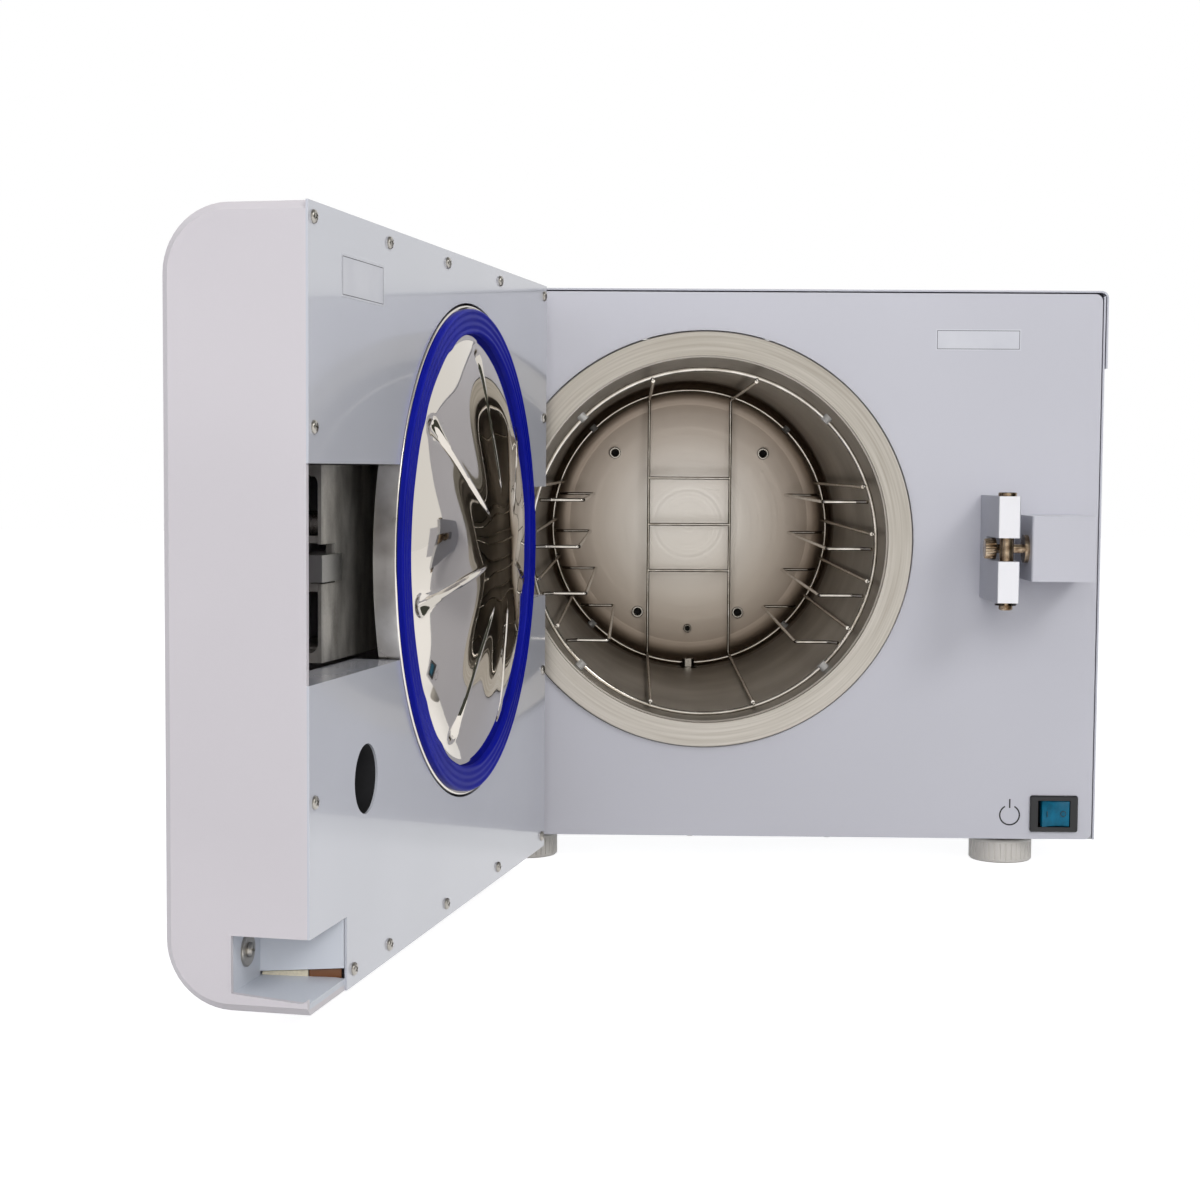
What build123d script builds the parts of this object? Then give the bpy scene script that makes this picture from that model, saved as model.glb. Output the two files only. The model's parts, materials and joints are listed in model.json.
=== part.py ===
from build123d import *
from math import atan2, cos, degrees, hypot, pi, radians, sin, sqrt, tan
import os

# A bench autoclave, in millimetres. X runs to the right, Y into the cabinet, Z up from the bench.
# The door stands open, and the origin lies on the bench under the middle of the whole part.

os.makedirs("parts", exist_ok=True)

# Placement of the chamber axis and of the front panel's face
chamber_x = -4.0
panel_y = -37.5

# Cabinet
foot_height = 18.0
foot_radius = 21.5
foot_disc = 15.6
panel_width = 446.0
panel_height = 371.0
panel_corner = 5.0
panel_sheet = 1.5
panel_return = 12.0
rear_bay = 89.0
sheet = 1.2
side_gap = 0.8
side_drop = 1.5
top_gap = 1.0
lip_gap = 0.8
lip_height = 52.0
cover_corner = 5.0
chamber_from_left = 179.0
chamber_from_bottom = 203.3
foot_inset = 57.5
foot_from_front = 26.0
rear_foot_inset = 60.0
rear_foot_radius = 14.0
foot_ribs = 36
foot_groove = 0.7
foot_neck = 10.0
foot_stud = 4.0
foot_stud_rise = 14.0
louvre_rows = 8
louvre_pitch = 12.0
louvre_slot = 4.0
louvre_low = 60.0
louvre_from_rear = (150.0, 60.0)

# Chamber, with its mouth towards the front
bore = 125.0
tube_bore = 124.0
tube_wall = 1.9
flange_radius = 141.35
flange_proud = 3.4
flange_thickness = 12.0
flange_step = 2.0
panel_hole_gap = 0.85
tube_length = 402.0
back_flat = 105.0
back_knuckle = 16.5
back_dish = 12.5
back_sag = 3.4
knuckle_sag = 5.2
back_mid = 0.55
port_radius = 90.0
port_angles = (43.6, 136.4, 240.5, 299.5)
port_bore = 2.6
port_rim = 5.0
stub_drop = 92.8
stub_radius = 3.6
stub_length = 14.0
drain_from_end = 17.0
drain_radius = 9.5
drain_depth = 9.0
drain_hex = 9.0
drain_rise = 7.0
drain_hole = 2.2
drain_neck = 5.0
drain_neck_length = 14.0
sump_wall = 1.2
bush_inset = 13.5
bush_rim = 3.0
bush_length = 22.0
bush_bore_depth = 12.0
stub_bore = 2.2
stub_tail = 14.0
saddle_half = 100.0
saddle_from_front = 70.0
saddle_from_end = 72.0
saddle_sheet = 3.0
saddle_foot = 22.0
saddle_drop = 60.0
band_spots = (110.0, 230.0)
band_width = 80.0
band_thickness = 3.0
terminal_half = 18.0
terminal_rise = 14.0
terminal_inset = 20.0

# Wire rack
rack_drop = 2.2
ring_radius = 119.0
ring_wire = 1.5
rack_wire = 1.25
rack_front = 20.0
rack_end_gap = 4.0
loop_levels = 4
loop_pitch = 32.5
loop_top = 28.5
loop_reach = (83.0, 86.0, 81.0, 65.0)
loop_inset = 6.0
loop_bend = 2.5
loop_return = 7.0
rod_rise = 10.5
end_rod_x = 35.5
rung_pitch = 40.5
spacer_radius = 3.2
spacer_angles = (45.5, 134.5, 225.5, 314.5)

# Catch on the front panel
clevis_x = 187.6
clevis_width = 14.3
clevis_reach = 68.0
clevis_top = 32.0
clevis_bottom = -37.2
ear_gap = 15.3
latch_drop = -2.65
gap_floor = 24.0
pin_radius = 4.5
pin_setback = 59.3
pin_head = 6.0
pin_head_height = 2.5
pin_tail = 5.0
clip_radius = 7.0
clip_thickness = 1.0
bolt_setback = 44.0
bolt_knob = 7.3
bolt_knob_tip = 6.5
bolt_knob_length = 7.2
bolt_radius = 3.0
bolt_travel = 17.9
bolt_out = 4.8
bolt_rear = 16.0
bolt_end_gap = 1.6
box_left = 211.1
box_width = 42.7
box_height = 42.6
box_reach = 60.0
box_sheet = 1.2
ring_flange = 9.3
coil_size = 24.0
running = 0.05

# Power switch
bezel_left = 224.7
bezel_width = 32.6
bezel_height = 25.0
bezel_top = -173.1
bezel_proud = 2.2
rocker_width = 21.4
rocker_height = 17.6
rocker_gap = 0.3
rocker_throw = 16.0

# Door, drawn shut and turned open about the hinge pin
door_open = 101.4
door_width = 445.5
door_top = 167.6
door_bottom = -204.4
door_thickness = 72.0
door_wall = 3.0
door_corner = 32.0
door_chamfer = 4.0
door_gap = 7.7
door_left = -179.5
cover_sheet = 1.2
hinge_inset = 24.7
hinge_depth = 44.3
hinge_notch = 36.0
hinge_pin_radius = 5.0
knuckle_radius = 11.0
knuckle_height = 47.2
lug_thickness = 10.0
lug_gap = 0.4
bracket_plate = 4.0
bracket_left = -178.0
bracket_right = -143.8

# Pressure disc and gasket
disc_hole = 142.0
disc_radius = 140.6
disc_rim_depth = 12.0
disc_wall = 2.5
disc_set = -0.6
dome_radius = 122.0
dome_height = 19.4
dome_wall = 5.0
rib_count = 7
rib_outer = 116.0
rib_inner = 45.0
rib_wide = 6.0
rib_narrow = 3.0
rib_lift = 2.6
gasket_outer = 138.6
gasket_inner = 124.3
gasket_proud = 3.8
gasket_round = 1.2

# Crossbar, tongue and handle
bar_front = 27.0
bar_depth = 33.0
bar_wall = 6.0
bar_top = 49.0
bar_bottom = -50.0
bar_start = 40.0
bar_end = 355.5
bar_pocket = 22.0
bar_rim = 4.8
bar_skin = 1.8
neck_half = 23.0
neck_rear = 58.0
bar_ribs = (110.0, 240.0)
bar_rib = 5.0
gear_boss = 10.0
rail_depth = 4.0
rail_back = 16.0
rail_front = 4.0
boss_radius = 20.0
boss_gap = 0.6
slot_start = 335.5
slot_top = 9.4
slot_bottom = -10.5
tongue_tip = 360.0
tongue_back = 337.0
tongue_pad = 331.0
tongue_front = 25.0
tongue_rear = 46.4
tongue_pad_depth = 1.6
tongue_height = 13.5
slide_front = 33.4
slide_back = 255.0
gear_module = 1.5
gear_teeth = 17
gear_front = 36.0
gear_width = 8.0
gear_x = 292.0
gear_backlash = 0.3
pressure_angle = 20.0
rack_teeth_count = 9
shaft_radius = 6.0
shaft_nose = 4.0
handle_hub = 19.0
handle_length = 92.0
handle_width = 26.0
handle_thickness = 16.0
handle_standoff = 8.0

# Door trim
cutout_left = 300.0
cutout_top = 49.5
cutout_bottom = -51.5
cutout_flange = 25.0
port_hole_x = 365.6
port_hole_z = -105.5
port_hole_radius = 17.4
cup_depth = 20.0
notch_width = 50.9
notch_back_width = 36.1
notch_top = -168.4
notch_depth = 38.5
notch_floor_front = -198.6
notch_floor_back = -195.5
notch_wall_low = -193.5
notch_corner = 5.0
washer_from_edge = 19.8
washer_z = -179.4
washer_radius = 8.0
washer_thickness = 1.2
washer_head = 3.6
washer_head_height = 2.0
liner_sheet = 1.2
display_x = 292.0
display_z = 112.0
display_width = 124.0
display_height = 46.0
display_thickness = 3.0
window_fit = 0.1
key_radius = 8.0
key_z = 68.0
key_pitch = 40.0
key_travel = 1.2
key_clearance = 0.3
key_proud = 1.5
key_flange = 1.2
key_stem = 3.0
board_front = 60.0
board_thickness = 1.6
board_half = 72.0
screw_radius = 3.2
screw_head = 1.8
cover_screw_left = 8.0
cover_screw_middle = (118.0, 228.0, 330.0)
cover_screw_right = 6.5
cover_screw_top = 160.5
cover_screw_bottom = -196.5
low_right_screw = (385.0, -196.0)
cover_screw_side_z = (66.0, 81.0)
cover_screw_low_z = (-105.8, -85.5)

# Fixings and clearances
fit = 0.3
screw_inset = 12.0
flange_screw_x = (-7.6, 87.1, 208.3)

# Water side, power side and fan
tank_left = 136.0
tank_right = 256.0
tank_bottom = 236.0
tank_from_rear = 70.0
tank_depth = 300.0
tank_wall = 2.5
neck_width = 76.0
neck_depth = 96.0
neck_from_rear = 66.0
lid_overlap = 9.0
lid_thickness = 5.0
lid_hinge_radius = 2.5
lid_corner = 8.0
tank_corner = 6.0
tank_leg = 30.0
lid_tab = 14.0
lid_pin = 1.5
ear_offset = 20.0
ear_inner = 6.3
ear_wall = 3.0
generator_x = 196.0
generator_y = 110.0
generator_radius = 44.0
generator_height = 120.0
generator_flange = (92.0, 102.0)
generator_rim = 8.0
generator_bolt_height = 105.0
generator_bolts = 8
generator_bolt = 3.5
generator_bolt_reach = 3.0
generator_leg = 4.0
generator_leg_height = 12.0
generator_legs = 3
pump_x = 198.0
pump_y = 300.0
pump_length = 110.0
pump_motor_radius = 38.0
pump_head = 70.0
pump_axis_height = 52.0
pump_head_depth = 28.0
pump_head_z = (-32.0, 46.0)
pump_fins = 5
pump_fin_start = 24.0
pump_fin_pitch = 16.0
pump_fin = 4.0
pump_fin_rim = 5.0
pump_plate_half = 34.0
pump_plate = 5.0
pump_plate_inset = 8.0
pump_foot_half = 12.0
pump_foot_inset = 12.0
pump_foot_top = 30.0
fan_x = 30.0
fan_z = 130.0
fan_size = 92.0
fan_depth = 25.0
fan_bore = 43.0
fan_hub = 18.0
fan_blades = 7
blade_angle = 35.0
blade_thickness = 1.6
blade_chord = 20.0
blade_tip_gap = 2.0
fan_arm = 3.0
fan_arm_width = 5.0
fan_spindle = 2.5
grille_rings = 4
grille_first = 8.0
grille_pitch = 9.0
grille_slot = 6.0
grille_bar = 4.0
vent_columns = 3
vent_rows = 6
vent_left = 120.0
vent_column_pitch = 80.0
vent_low = 250.0
vent_width = 60.0
condenser_width = 110.0
condenser_height = 100.0
condenser_depth = 24.0
fin_pitch = 8.0
fin_thickness = 1.0
condenser_gap = 6.0
condenser_tube = 5.0
condenser_rows = 4
condenser_row_start = 14.0
condenser_row_pitch = 24.0
valve_x = -118.0
valve_from_rear = 68.0
valve_half = 45.0
valve_depth = 12.0
valve_floor = 90.0
valve_body = 22.0
valve_leg = 4.0
coil_pitch = 29.0
coil_half = 11.0
coil_height = 28.0
relief_spot = (-60.0, 40.0)
valve_neck = 6.0
relief_steps = ((0.0, 6.0, 11.0), (6.0, 22.0, 8.0), (22.0, 28.0, 4.0))
filter_place = (130.0, -20.0)
filter_radius = 26.0
filter_depth = 21.0
filter_neck = 12.0
filter_neck_length = 5.0
board_width = 220.0
board_height = 150.0
board_from_front = 160.0
board_from_base = 120.0
board_standoff = 10.0
board_post = 3.0
board_post_inset = 8.0
transformer = (20.0, 50.0, 42.0, 22.0)
board_parts = 4
board_part_start = 100.0
board_part_pitch = 28.0
capacitor_radius = 9.0
capacitor_height = 20.0
heatsink_half = 8.0
heatsink_depth = 14.0
heatsink_z = (90.0, 120.0)
inlet_x = -120.0
inlet_z = 70.0
inlet_width = 48.0
inlet_height = 28.0
inlet_plate = 2.5
inlet_lip = 2.0
inlet_depth = 26.0
inlet_socket = (13.0, 8.0, 18.0)
inlet_blade = 1.0
inlet_blade_height = 4.0
inlet_earth_rise = 3.0
inlet_blades = (-7.0, 0.0, 7.0)
pipe_radius = 4.0
steam_pipe = 3.0
steam_bend = 7.0
steam_rise = 34.0
steam_side = 46.0
steam_behind = 24.0
drain_pipe_drop = 24.0
drain_pipe_side = 40.0
pipe_bend = 14.0

# Places worked out from the driving dimensions
base_z = foot_height
chamber_z = base_z + chamber_from_bottom
panel_left = chamber_x - chamber_from_left
panel_right = panel_left + panel_width
panel_top = base_z + panel_height
back_wall = tube_length + back_knuckle + back_dish
body_depth = back_wall + rear_bay
drain_y = tube_length - drain_from_end
rack_length = tube_length - rack_front - rack_end_gap
side_outer = side_gap + sheet
rear_y = panel_y + body_depth
cover_top = panel_top + top_gap + sheet
door_x = chamber_x + door_left
hinge_x = door_x + hinge_inset
hinge_y = panel_y - door_gap - hinge_depth
hinge_axis = Axis((hinge_x, hinge_y, 0), (0, 0, 1))
disc_x = chamber_x - door_x
notch_left = door_width - notch_width
notch_back_left = door_width - notch_back_width
cover_screw_x = (cover_screw_left, *cover_screw_middle, door_width - cover_screw_right)
latch_z = chamber_z + latch_drop
rack_z = chamber_z - rack_drop
rack_y = panel_y + rack_front
gear_pitch = gear_module * gear_teeth / 2
gear_tip = gear_pitch + gear_module
gear_root = gear_pitch - 1.25 * gear_module
tongue_top = latch_drop + tongue_height / 2
gear_z = chamber_z + tongue_top + 1.25 * gear_module + gear_pitch


def door_y(depth):
    """Y of a plane at this depth into the shut door, measured from its inner cover."""
    return panel_y - door_gap - depth


def block(x, y, z, mode=Mode.ADD):
    """A box between two values on each axis, in the part that is being built."""
    with Locations(((x[0] + x[1]) / 2, (y[0] + y[1]) / 2, (z[0] + z[1]) / 2)):
        Box(abs(x[1] - x[0]), abs(y[1] - y[0]), abs(z[1] - z[0]), mode=mode)


def rod_x(y, z, x, radius, mode=Mode.ADD):
    with Locations(((x[0] + x[1]) / 2, y, z)):
        Cylinder(radius, abs(x[1] - x[0]), rotation=(0, 90, 0), mode=mode)


def rod_y(x, z, y, radius, mode=Mode.ADD):
    with Locations((x, (y[0] + y[1]) / 2, z)):
        Cylinder(radius, abs(y[1] - y[0]), rotation=(90, 0, 0), mode=mode)


def rod_z(x, y, z, radius, mode=Mode.ADD):
    with Locations((x, y, (z[0] + z[1]) / 2)):
        Cylinder(radius, abs(z[1] - z[0]), mode=mode)


def upright(y):
    """A drawing plane that faces the front, at this Y, with Z upwards."""
    return Plane(origin=(0, y, 0), x_dir=(1, 0, 0), z_dir=(0, -1, 0))


def bent_rod(points, bend, radius, mode=Mode.ADD):
    """A round wire or pipe along straight runs joined by arcs."""
    with BuildLine(mode=Mode.PRIVATE) as path:
        FilletPolyline(*points, radius=bend)
    with BuildSketch(Plane(origin=path.line @ 0, z_dir=path.line % 0), mode=Mode.PRIVATE) as section:
        Circle(radius)
    sweep(section.sketch, path=path.line, mode=mode)


def write(piece, name, turned=False):
    """Keep a finished piece. A piece of the door is turned open first."""
    solid = piece.part
    if turned:
        solid = solid.rotate(hinge_axis, -door_open)
    solid.label = name
    export_step(solid, f"parts/{name}.step")


# Base pan, a folded tray that everything stands on, notched for the switch
bezel_x = (chamber_x + bezel_left + 2, chamber_x + bezel_left + bezel_width - 2)
bezel_z = (chamber_z + bezel_top - bezel_height + 2, chamber_z + bezel_top - 2)
with BuildPart() as base_pan:
    pan_left = panel_left - side_gap + fit
    pan_right = panel_right + side_gap - fit
    pan_front = panel_y + panel_sheet + fit
    pan_rear = rear_y - sheet - fit
    block((pan_left, pan_right), (pan_front, pan_rear), (base_z, base_z + panel_return + sheet))
    block((pan_left + sheet, pan_right - sheet), (pan_front + sheet, pan_rear - sheet),
          (base_z + sheet, base_z + panel_return + 2 * sheet), mode=Mode.SUBTRACT)
    block((bezel_x[0] - 3, bezel_x[1] + 3), (pan_front - 1, pan_front + 5),
          (base_z + 3, base_z + panel_return + 2 * sheet), mode=Mode.SUBTRACT)
    for foot_x in (panel_left + foot_inset, panel_right - foot_inset):
        rod_z(foot_x, panel_y + foot_from_front, (base_z - 1, base_z + 3), foot_stud + fit,
              mode=Mode.SUBTRACT)
write(base_pan, "base_pan")

# Front panel, a tray with its returns folded back into the cabinet
with BuildPart() as front_panel:
    panel_floor = base_z + panel_return + sheet + fit
    with BuildSketch(upright(panel_y)):
        with Locations(((panel_left + panel_right) / 2, (base_z + panel_top) / 2)):
            RectangleRounded(panel_width, panel_height, panel_corner)
    extrude(amount=-panel_return)
    with BuildSketch(upright(panel_y + panel_sheet)):
        with Locations(((panel_left + panel_right) / 2, (base_z + panel_top) / 2)):
            RectangleRounded(panel_width - 2 * panel_sheet, panel_height - 2 * panel_sheet,
                             panel_corner - panel_sheet)
    extrude(amount=-panel_return, mode=Mode.SUBTRACT)
    block((panel_left - 1, panel_right + 1), (pan_front - fit, pan_front + panel_return),
          (base_z - 1, panel_floor), mode=Mode.SUBTRACT)
    rod_y(chamber_x, chamber_z, (panel_y - 1, panel_y + panel_return), flange_radius + panel_hole_gap,
          mode=Mode.SUBTRACT)
    block(bezel_x, (panel_y - 1, panel_y + panel_sheet + 1), bezel_z, mode=Mode.SUBTRACT)
write(front_panel, "front_panel")

# Side panels, with louvre slots near the rear
for side, side_name in ((-1, "left_side_panel"), (1, "right_side_panel")):
    with BuildPart() as side_panel:
        inner_x = panel_left - side_gap if side < 0 else panel_right + side_gap
        side_x = (inner_x - sheet, inner_x) if side < 0 else (inner_x, inner_x + sheet)
        block(side_x, (panel_y, rear_y), (base_z, panel_top - side_drop))
        for row in range(louvre_rows):
            slot_z = base_z + louvre_low + row * louvre_pitch
            block((side_x[0] - 1, side_x[1] + 1),
                  (rear_y - louvre_from_rear[0], rear_y - louvre_from_rear[1]),
                  (slot_z, slot_z + louvre_slot), mode=Mode.SUBTRACT)
    write(side_panel, side_name)

# Top cover, wrapped over the sides with a short lip, open over the tank's neck, with the lid's hinge ears
tank_mid_x = chamber_x + (tank_left + tank_right) / 2
tank_rear = rear_y - tank_from_rear
neck_y = tank_rear - neck_from_rear
lid_z = cover_top + 0.6
lid_hinge_y = neck_y + neck_depth / 2 + lid_overlap + 4
lid_hinge_z = lid_z + lid_hinge_radius + 0.5
with BuildPart() as top_cover:
    lip_left = panel_left - side_outer - lip_gap
    lip_right = panel_right + side_outer + lip_gap
    with BuildSketch(upright(panel_y)):
        with BuildLine():
            outer = FilletPolyline(
                (lip_left - sheet, cover_top - lip_height), (lip_left - sheet, cover_top),
                (lip_right + sheet, cover_top), (lip_right + sheet, cover_top - lip_height),
                radius=cover_corner)
            inner = FilletPolyline(
                (lip_left, cover_top - lip_height), (lip_left, cover_top - sheet),
                (lip_right, cover_top - sheet), (lip_right, cover_top - lip_height),
                radius=cover_corner - sheet)
            Line(outer @ 0, inner @ 0)
            Line(outer @ 1, inner @ 1)
        make_face()
    extrude(amount=-body_depth)
    block((tank_mid_x - neck_width / 2 - fit, tank_mid_x + neck_width / 2 + fit),
          (neck_y - neck_depth / 2 - fit, neck_y + neck_depth / 2 + fit),
          (cover_top - 5, cover_top + 5), mode=Mode.SUBTRACT)
    for ear_x in (tank_mid_x - ear_offset, tank_mid_x + ear_offset):
        for ear_side in (-1, 1):
            block((ear_x + ear_side * ear_inner, ear_x + ear_side * (ear_inner + ear_wall)),
                  (lid_hinge_y - ear_wall, lid_hinge_y + ear_wall), (cover_top, lid_hinge_z + 2.4))
        rod_x(lid_hinge_y, lid_hinge_z, (ear_x - ear_inner - 0.1, ear_x + ear_inner + 0.1), lid_pin)
write(top_cover, "top_cover")

# Rear panel with the fan opening, the inlet and a block of vents
fan_centre_x = chamber_x + fan_x
inlet_centre = chamber_x + inlet_x
valve_spot = (chamber_x + relief_spot[0], chamber_z + relief_spot[1])
with BuildPart() as rear_panel:
    block((panel_left - side_gap + fit, panel_right + side_gap - fit), (rear_y - sheet, rear_y),
          (base_z, panel_top))
    for ring in range(grille_rings):
        ring_inner = grille_first + ring * grille_pitch
        with BuildSketch(upright(rear_y + 1)):
            with Locations((fan_centre_x, fan_z)):
                Circle(ring_inner + grille_slot)
                Circle(ring_inner, mode=Mode.SUBTRACT)
                Rectangle(grille_bar, 4 * fan_bore, mode=Mode.SUBTRACT)
                Rectangle(4 * fan_bore, grille_bar, mode=Mode.SUBTRACT)
        extrude(amount=2 + sheet, mode=Mode.SUBTRACT)
    inlet_x_hole = (inlet_centre - inlet_width / 2 + inlet_lip, inlet_centre + inlet_width / 2 - inlet_lip)
    inlet_z_hole = (inlet_z - inlet_height / 2 + inlet_lip, inlet_z + inlet_height / 2 - inlet_lip)
    block(inlet_x_hole, (rear_y - 2 * sheet, rear_y + 1), inlet_z_hole, mode=Mode.SUBTRACT)
    rod_y(*valve_spot, (rear_y - 2 * sheet, rear_y + 1), valve_neck + fit, mode=Mode.SUBTRACT)
    for column in range(vent_columns):
        for row in range(vent_rows):
            vent_x = panel_left + vent_left + column * vent_column_pitch
            vent_z = base_z + vent_low + row * louvre_pitch
            block((vent_x, vent_x + vent_width), (rear_y - 2 * sheet, rear_y + 1),
                  (vent_z, vent_z + louvre_slot), mode=Mode.SUBTRACT)
write(rear_panel, "rear_panel")

# Pan-head screws of the casing
with BuildPart() as casing_screws:
    for side in (-1, 1):
        lip_face = lip_left - sheet if side < 0 else lip_right + sheet
        side_face = panel_left - side_outer if side < 0 else panel_right + side_outer
        for screw_y in (panel_y + screw_inset, panel_y + body_depth / 2, rear_y - screw_inset):
            rod_x(screw_y, cover_top - lip_height / 2, (lip_face, lip_face + side * screw_head), screw_radius)
            rod_x(screw_y, base_z + screw_inset, (side_face, side_face + side * screw_head), screw_radius)
    for screw_x in flange_screw_x:
        rod_z(chamber_x + screw_x, pan_front + 8, (base_z - screw_head, base_z), screw_radius)
    for screw_x in (panel_left + 20, (panel_left + panel_right) / 2, panel_right - 20):
        for screw_z in (base_z + screw_inset, panel_top - screw_inset):
            rod_y(screw_x, screw_z, (rear_y, rear_y + screw_head), screw_radius)
write(casing_screws, "casing_screws")

# Front feet, ribbed plastic discs that screw up and down in the base pan
for foot_x, foot_name in ((panel_left + foot_inset, "front_foot_left"),
                          (panel_right - foot_inset, "front_foot_right")):
    with BuildPart() as front_foot:
        foot_y = panel_y + foot_from_front
        rod_z(foot_x, foot_y, (0, foot_disc), foot_radius)
        chamfer(front_foot.edges().filter_by(GeomType.CIRCLE), 1.0)
        with Locations((foot_x, foot_y, foot_disc / 2)):
            with PolarLocations(foot_radius, foot_ribs):
                Cylinder(foot_groove, foot_disc - 4, mode=Mode.SUBTRACT)
        rod_z(foot_x, foot_y, (foot_disc - 1, foot_height - fit), foot_neck)
        rod_z(foot_x, foot_y, (foot_disc - 1, foot_height + foot_stud_rise), foot_stud)
    write(front_foot, foot_name)

# Rear feet, plain rubber pads
with BuildPart() as rear_feet:
    for foot_x in (panel_left + rear_foot_inset, panel_right - rear_foot_inset):
        rod_z(foot_x, rear_y - rear_foot_inset, (0, base_z), rear_foot_radius)
    chamfer(rear_feet.edges().filter_by(GeomType.CIRCLE).group_by(Axis.Z)[0], 2.0)
write(rear_feet, "rear_feet")

# Chamber vessel, a drawn tube with a dished back wall
with BuildPart() as chamber_vessel:
    vessel_mouth = panel_y + flange_step
    tube_end = panel_y + tube_length
    back_y = panel_y + back_wall
    with BuildSketch(Plane.XY.offset(chamber_z)):
        with BuildLine():
            wall_r = tube_bore + tube_wall
            Polyline((chamber_x, back_y), (chamber_x, back_y + tube_wall))
            ThreePointArc((chamber_x, back_y + tube_wall),
                          (chamber_x + back_flat * back_mid, back_y + tube_wall - back_sag),
                          (chamber_x + back_flat + 1, tube_end + back_knuckle + tube_wall))
            ThreePointArc((chamber_x + back_flat + 1, tube_end + back_knuckle + tube_wall),
                          (chamber_x + wall_r - knuckle_sag, tube_end + back_knuckle * 0.66),
                          (chamber_x + wall_r, tube_end))
            Polyline((chamber_x + wall_r, tube_end), (chamber_x + wall_r, vessel_mouth),
                     (chamber_x + tube_bore, vessel_mouth), (chamber_x + tube_bore, tube_end))
            ThreePointArc((chamber_x + tube_bore, tube_end),
                          (chamber_x + tube_bore - knuckle_sag, tube_end + back_knuckle * 0.64),
                          (chamber_x + back_flat, tube_end + back_knuckle))
            ThreePointArc((chamber_x + back_flat, tube_end + back_knuckle),
                          (chamber_x + back_flat * back_mid, back_y - back_sag),
                          (chamber_x, back_y))
        make_face()
    revolve(axis=Axis((chamber_x, 0, chamber_z), (0, 1, 0)))
    for angle in port_angles:
        port_x = chamber_x + port_radius * cos(radians(angle))
        port_z = chamber_z + port_radius * sin(radians(angle))
        rod_y(port_x, port_z, (back_y - 20, back_y + 20), port_rim - 1.5, mode=Mode.SUBTRACT)
    rod_y(chamber_x, chamber_z - stub_drop, (back_y - 20, back_y + 20), stub_radius, mode=Mode.SUBTRACT)
    rod_z(chamber_x, panel_y + drain_y, (chamber_z - wall_r - 1, chamber_z - tube_bore + 3), drain_radius,
          mode=Mode.SUBTRACT)
write(chamber_vessel, "chamber_vessel")

# Chamber flange, the turned ring that the door seals on
with BuildPart() as chamber_flange:
    flange_y = (panel_y - flange_proud, panel_y - flange_proud + flange_thickness)
    rod_y(chamber_x, chamber_z, flange_y, flange_radius)
    chamfer(chamber_flange.edges().filter_by(GeomType.CIRCLE).group_by(Axis.Y)[0], 0.6)
    rod_y(chamber_x, chamber_z, (flange_y[0] - 1, flange_y[1] + 1), bore, mode=Mode.SUBTRACT)
    rod_y(chamber_x, chamber_z, (vessel_mouth, flange_y[1] + 1), wall_r + 0.1, mode=Mode.SUBTRACT)
write(chamber_flange, "chamber_flange")

# Saddles that carry the vessel on the base pan
with BuildPart() as chamber_saddles:
    for saddle_y in (panel_y + saddle_from_front, tube_end - saddle_from_end):
        block((chamber_x - saddle_half, chamber_x + saddle_half), (saddle_y, saddle_y + saddle_sheet),
              (base_z + sheet, chamber_z - saddle_drop))
        block((chamber_x - saddle_half, chamber_x + saddle_half), (saddle_y, saddle_y + saddle_foot),
              (base_z + sheet, base_z + sheet + saddle_sheet))
    rod_y(chamber_x, chamber_z, (panel_y, rear_y), wall_r + fit, mode=Mode.SUBTRACT)
write(chamber_saddles, "chamber_saddles")

# Heater bands round the vessel, each with a terminal box
with BuildPart() as heater_bands:
    for band_spot in band_spots:
        band_y = panel_y + band_spot
        rod_y(chamber_x, chamber_z, (band_y, band_y + band_width), wall_r + fit + band_thickness)
        block((chamber_x - terminal_half, chamber_x + terminal_half),
              (band_y + terminal_inset, band_y + band_width - terminal_inset),
              (chamber_z, chamber_z + wall_r + terminal_rise))
    rod_y(chamber_x, chamber_z, (panel_y, rear_y), wall_r + fit, mode=Mode.SUBTRACT)
write(heater_bands, "heater_bands")

# Bushes in the four holes of the back wall, and the steam stub below the middle
with BuildPart() as back_wall_bushes:
    for angle in port_angles:
        port_x = chamber_x + port_radius * cos(radians(angle))
        port_z = chamber_z + port_radius * sin(radians(angle))
        port_y = back_y - bush_inset
        rod_y(port_x, port_z, (port_y, port_y + bush_rim), port_rim)
        rod_y(port_x, port_z, (port_y, port_y + bush_length), port_rim - 1.5 - fit / 2)
        rod_y(port_x, port_z, (port_y - 1, port_y + bush_bore_depth), port_bore, mode=Mode.SUBTRACT)
    stub_y = back_y - stub_length
    rod_y(chamber_x, chamber_z - stub_drop, (stub_y, back_y + stub_tail), stub_radius - fit / 2)
    rod_y(chamber_x, chamber_z - stub_drop, (stub_y - 1, stub_y + 10), stub_bore, mode=Mode.SUBTRACT)
write(back_wall_bushes, "back_wall_bushes")

# Drain in the chamber floor: a sump cup with a hexagon fitting standing in it
with BuildPart() as drain_fitting:
    sump_top = chamber_z - tube_bore + 0.6
    sump_y = panel_y + drain_y
    rod_z(chamber_x, sump_y, (sump_top - drain_depth - 2, sump_top), drain_radius - fit)
    rod_z(chamber_x, sump_y, (sump_top - drain_depth, sump_top + 1), drain_radius - fit - sump_wall,
          mode=Mode.SUBTRACT)
    with BuildSketch(Plane.XY.offset(sump_top - drain_depth)):
        with Locations((chamber_x, sump_y)):
            RegularPolygon(drain_hex / 2, 6, major_radius=False)
    extrude(amount=drain_depth + drain_rise)
    rod_z(chamber_x, sump_y, (sump_top + 2, sump_top + drain_rise + 1), drain_hole, mode=Mode.SUBTRACT)
    drain_low = sump_top - drain_depth - drain_neck_length
    rod_z(chamber_x, sump_y, (drain_low, sump_top - drain_depth - 1), drain_neck)
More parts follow.
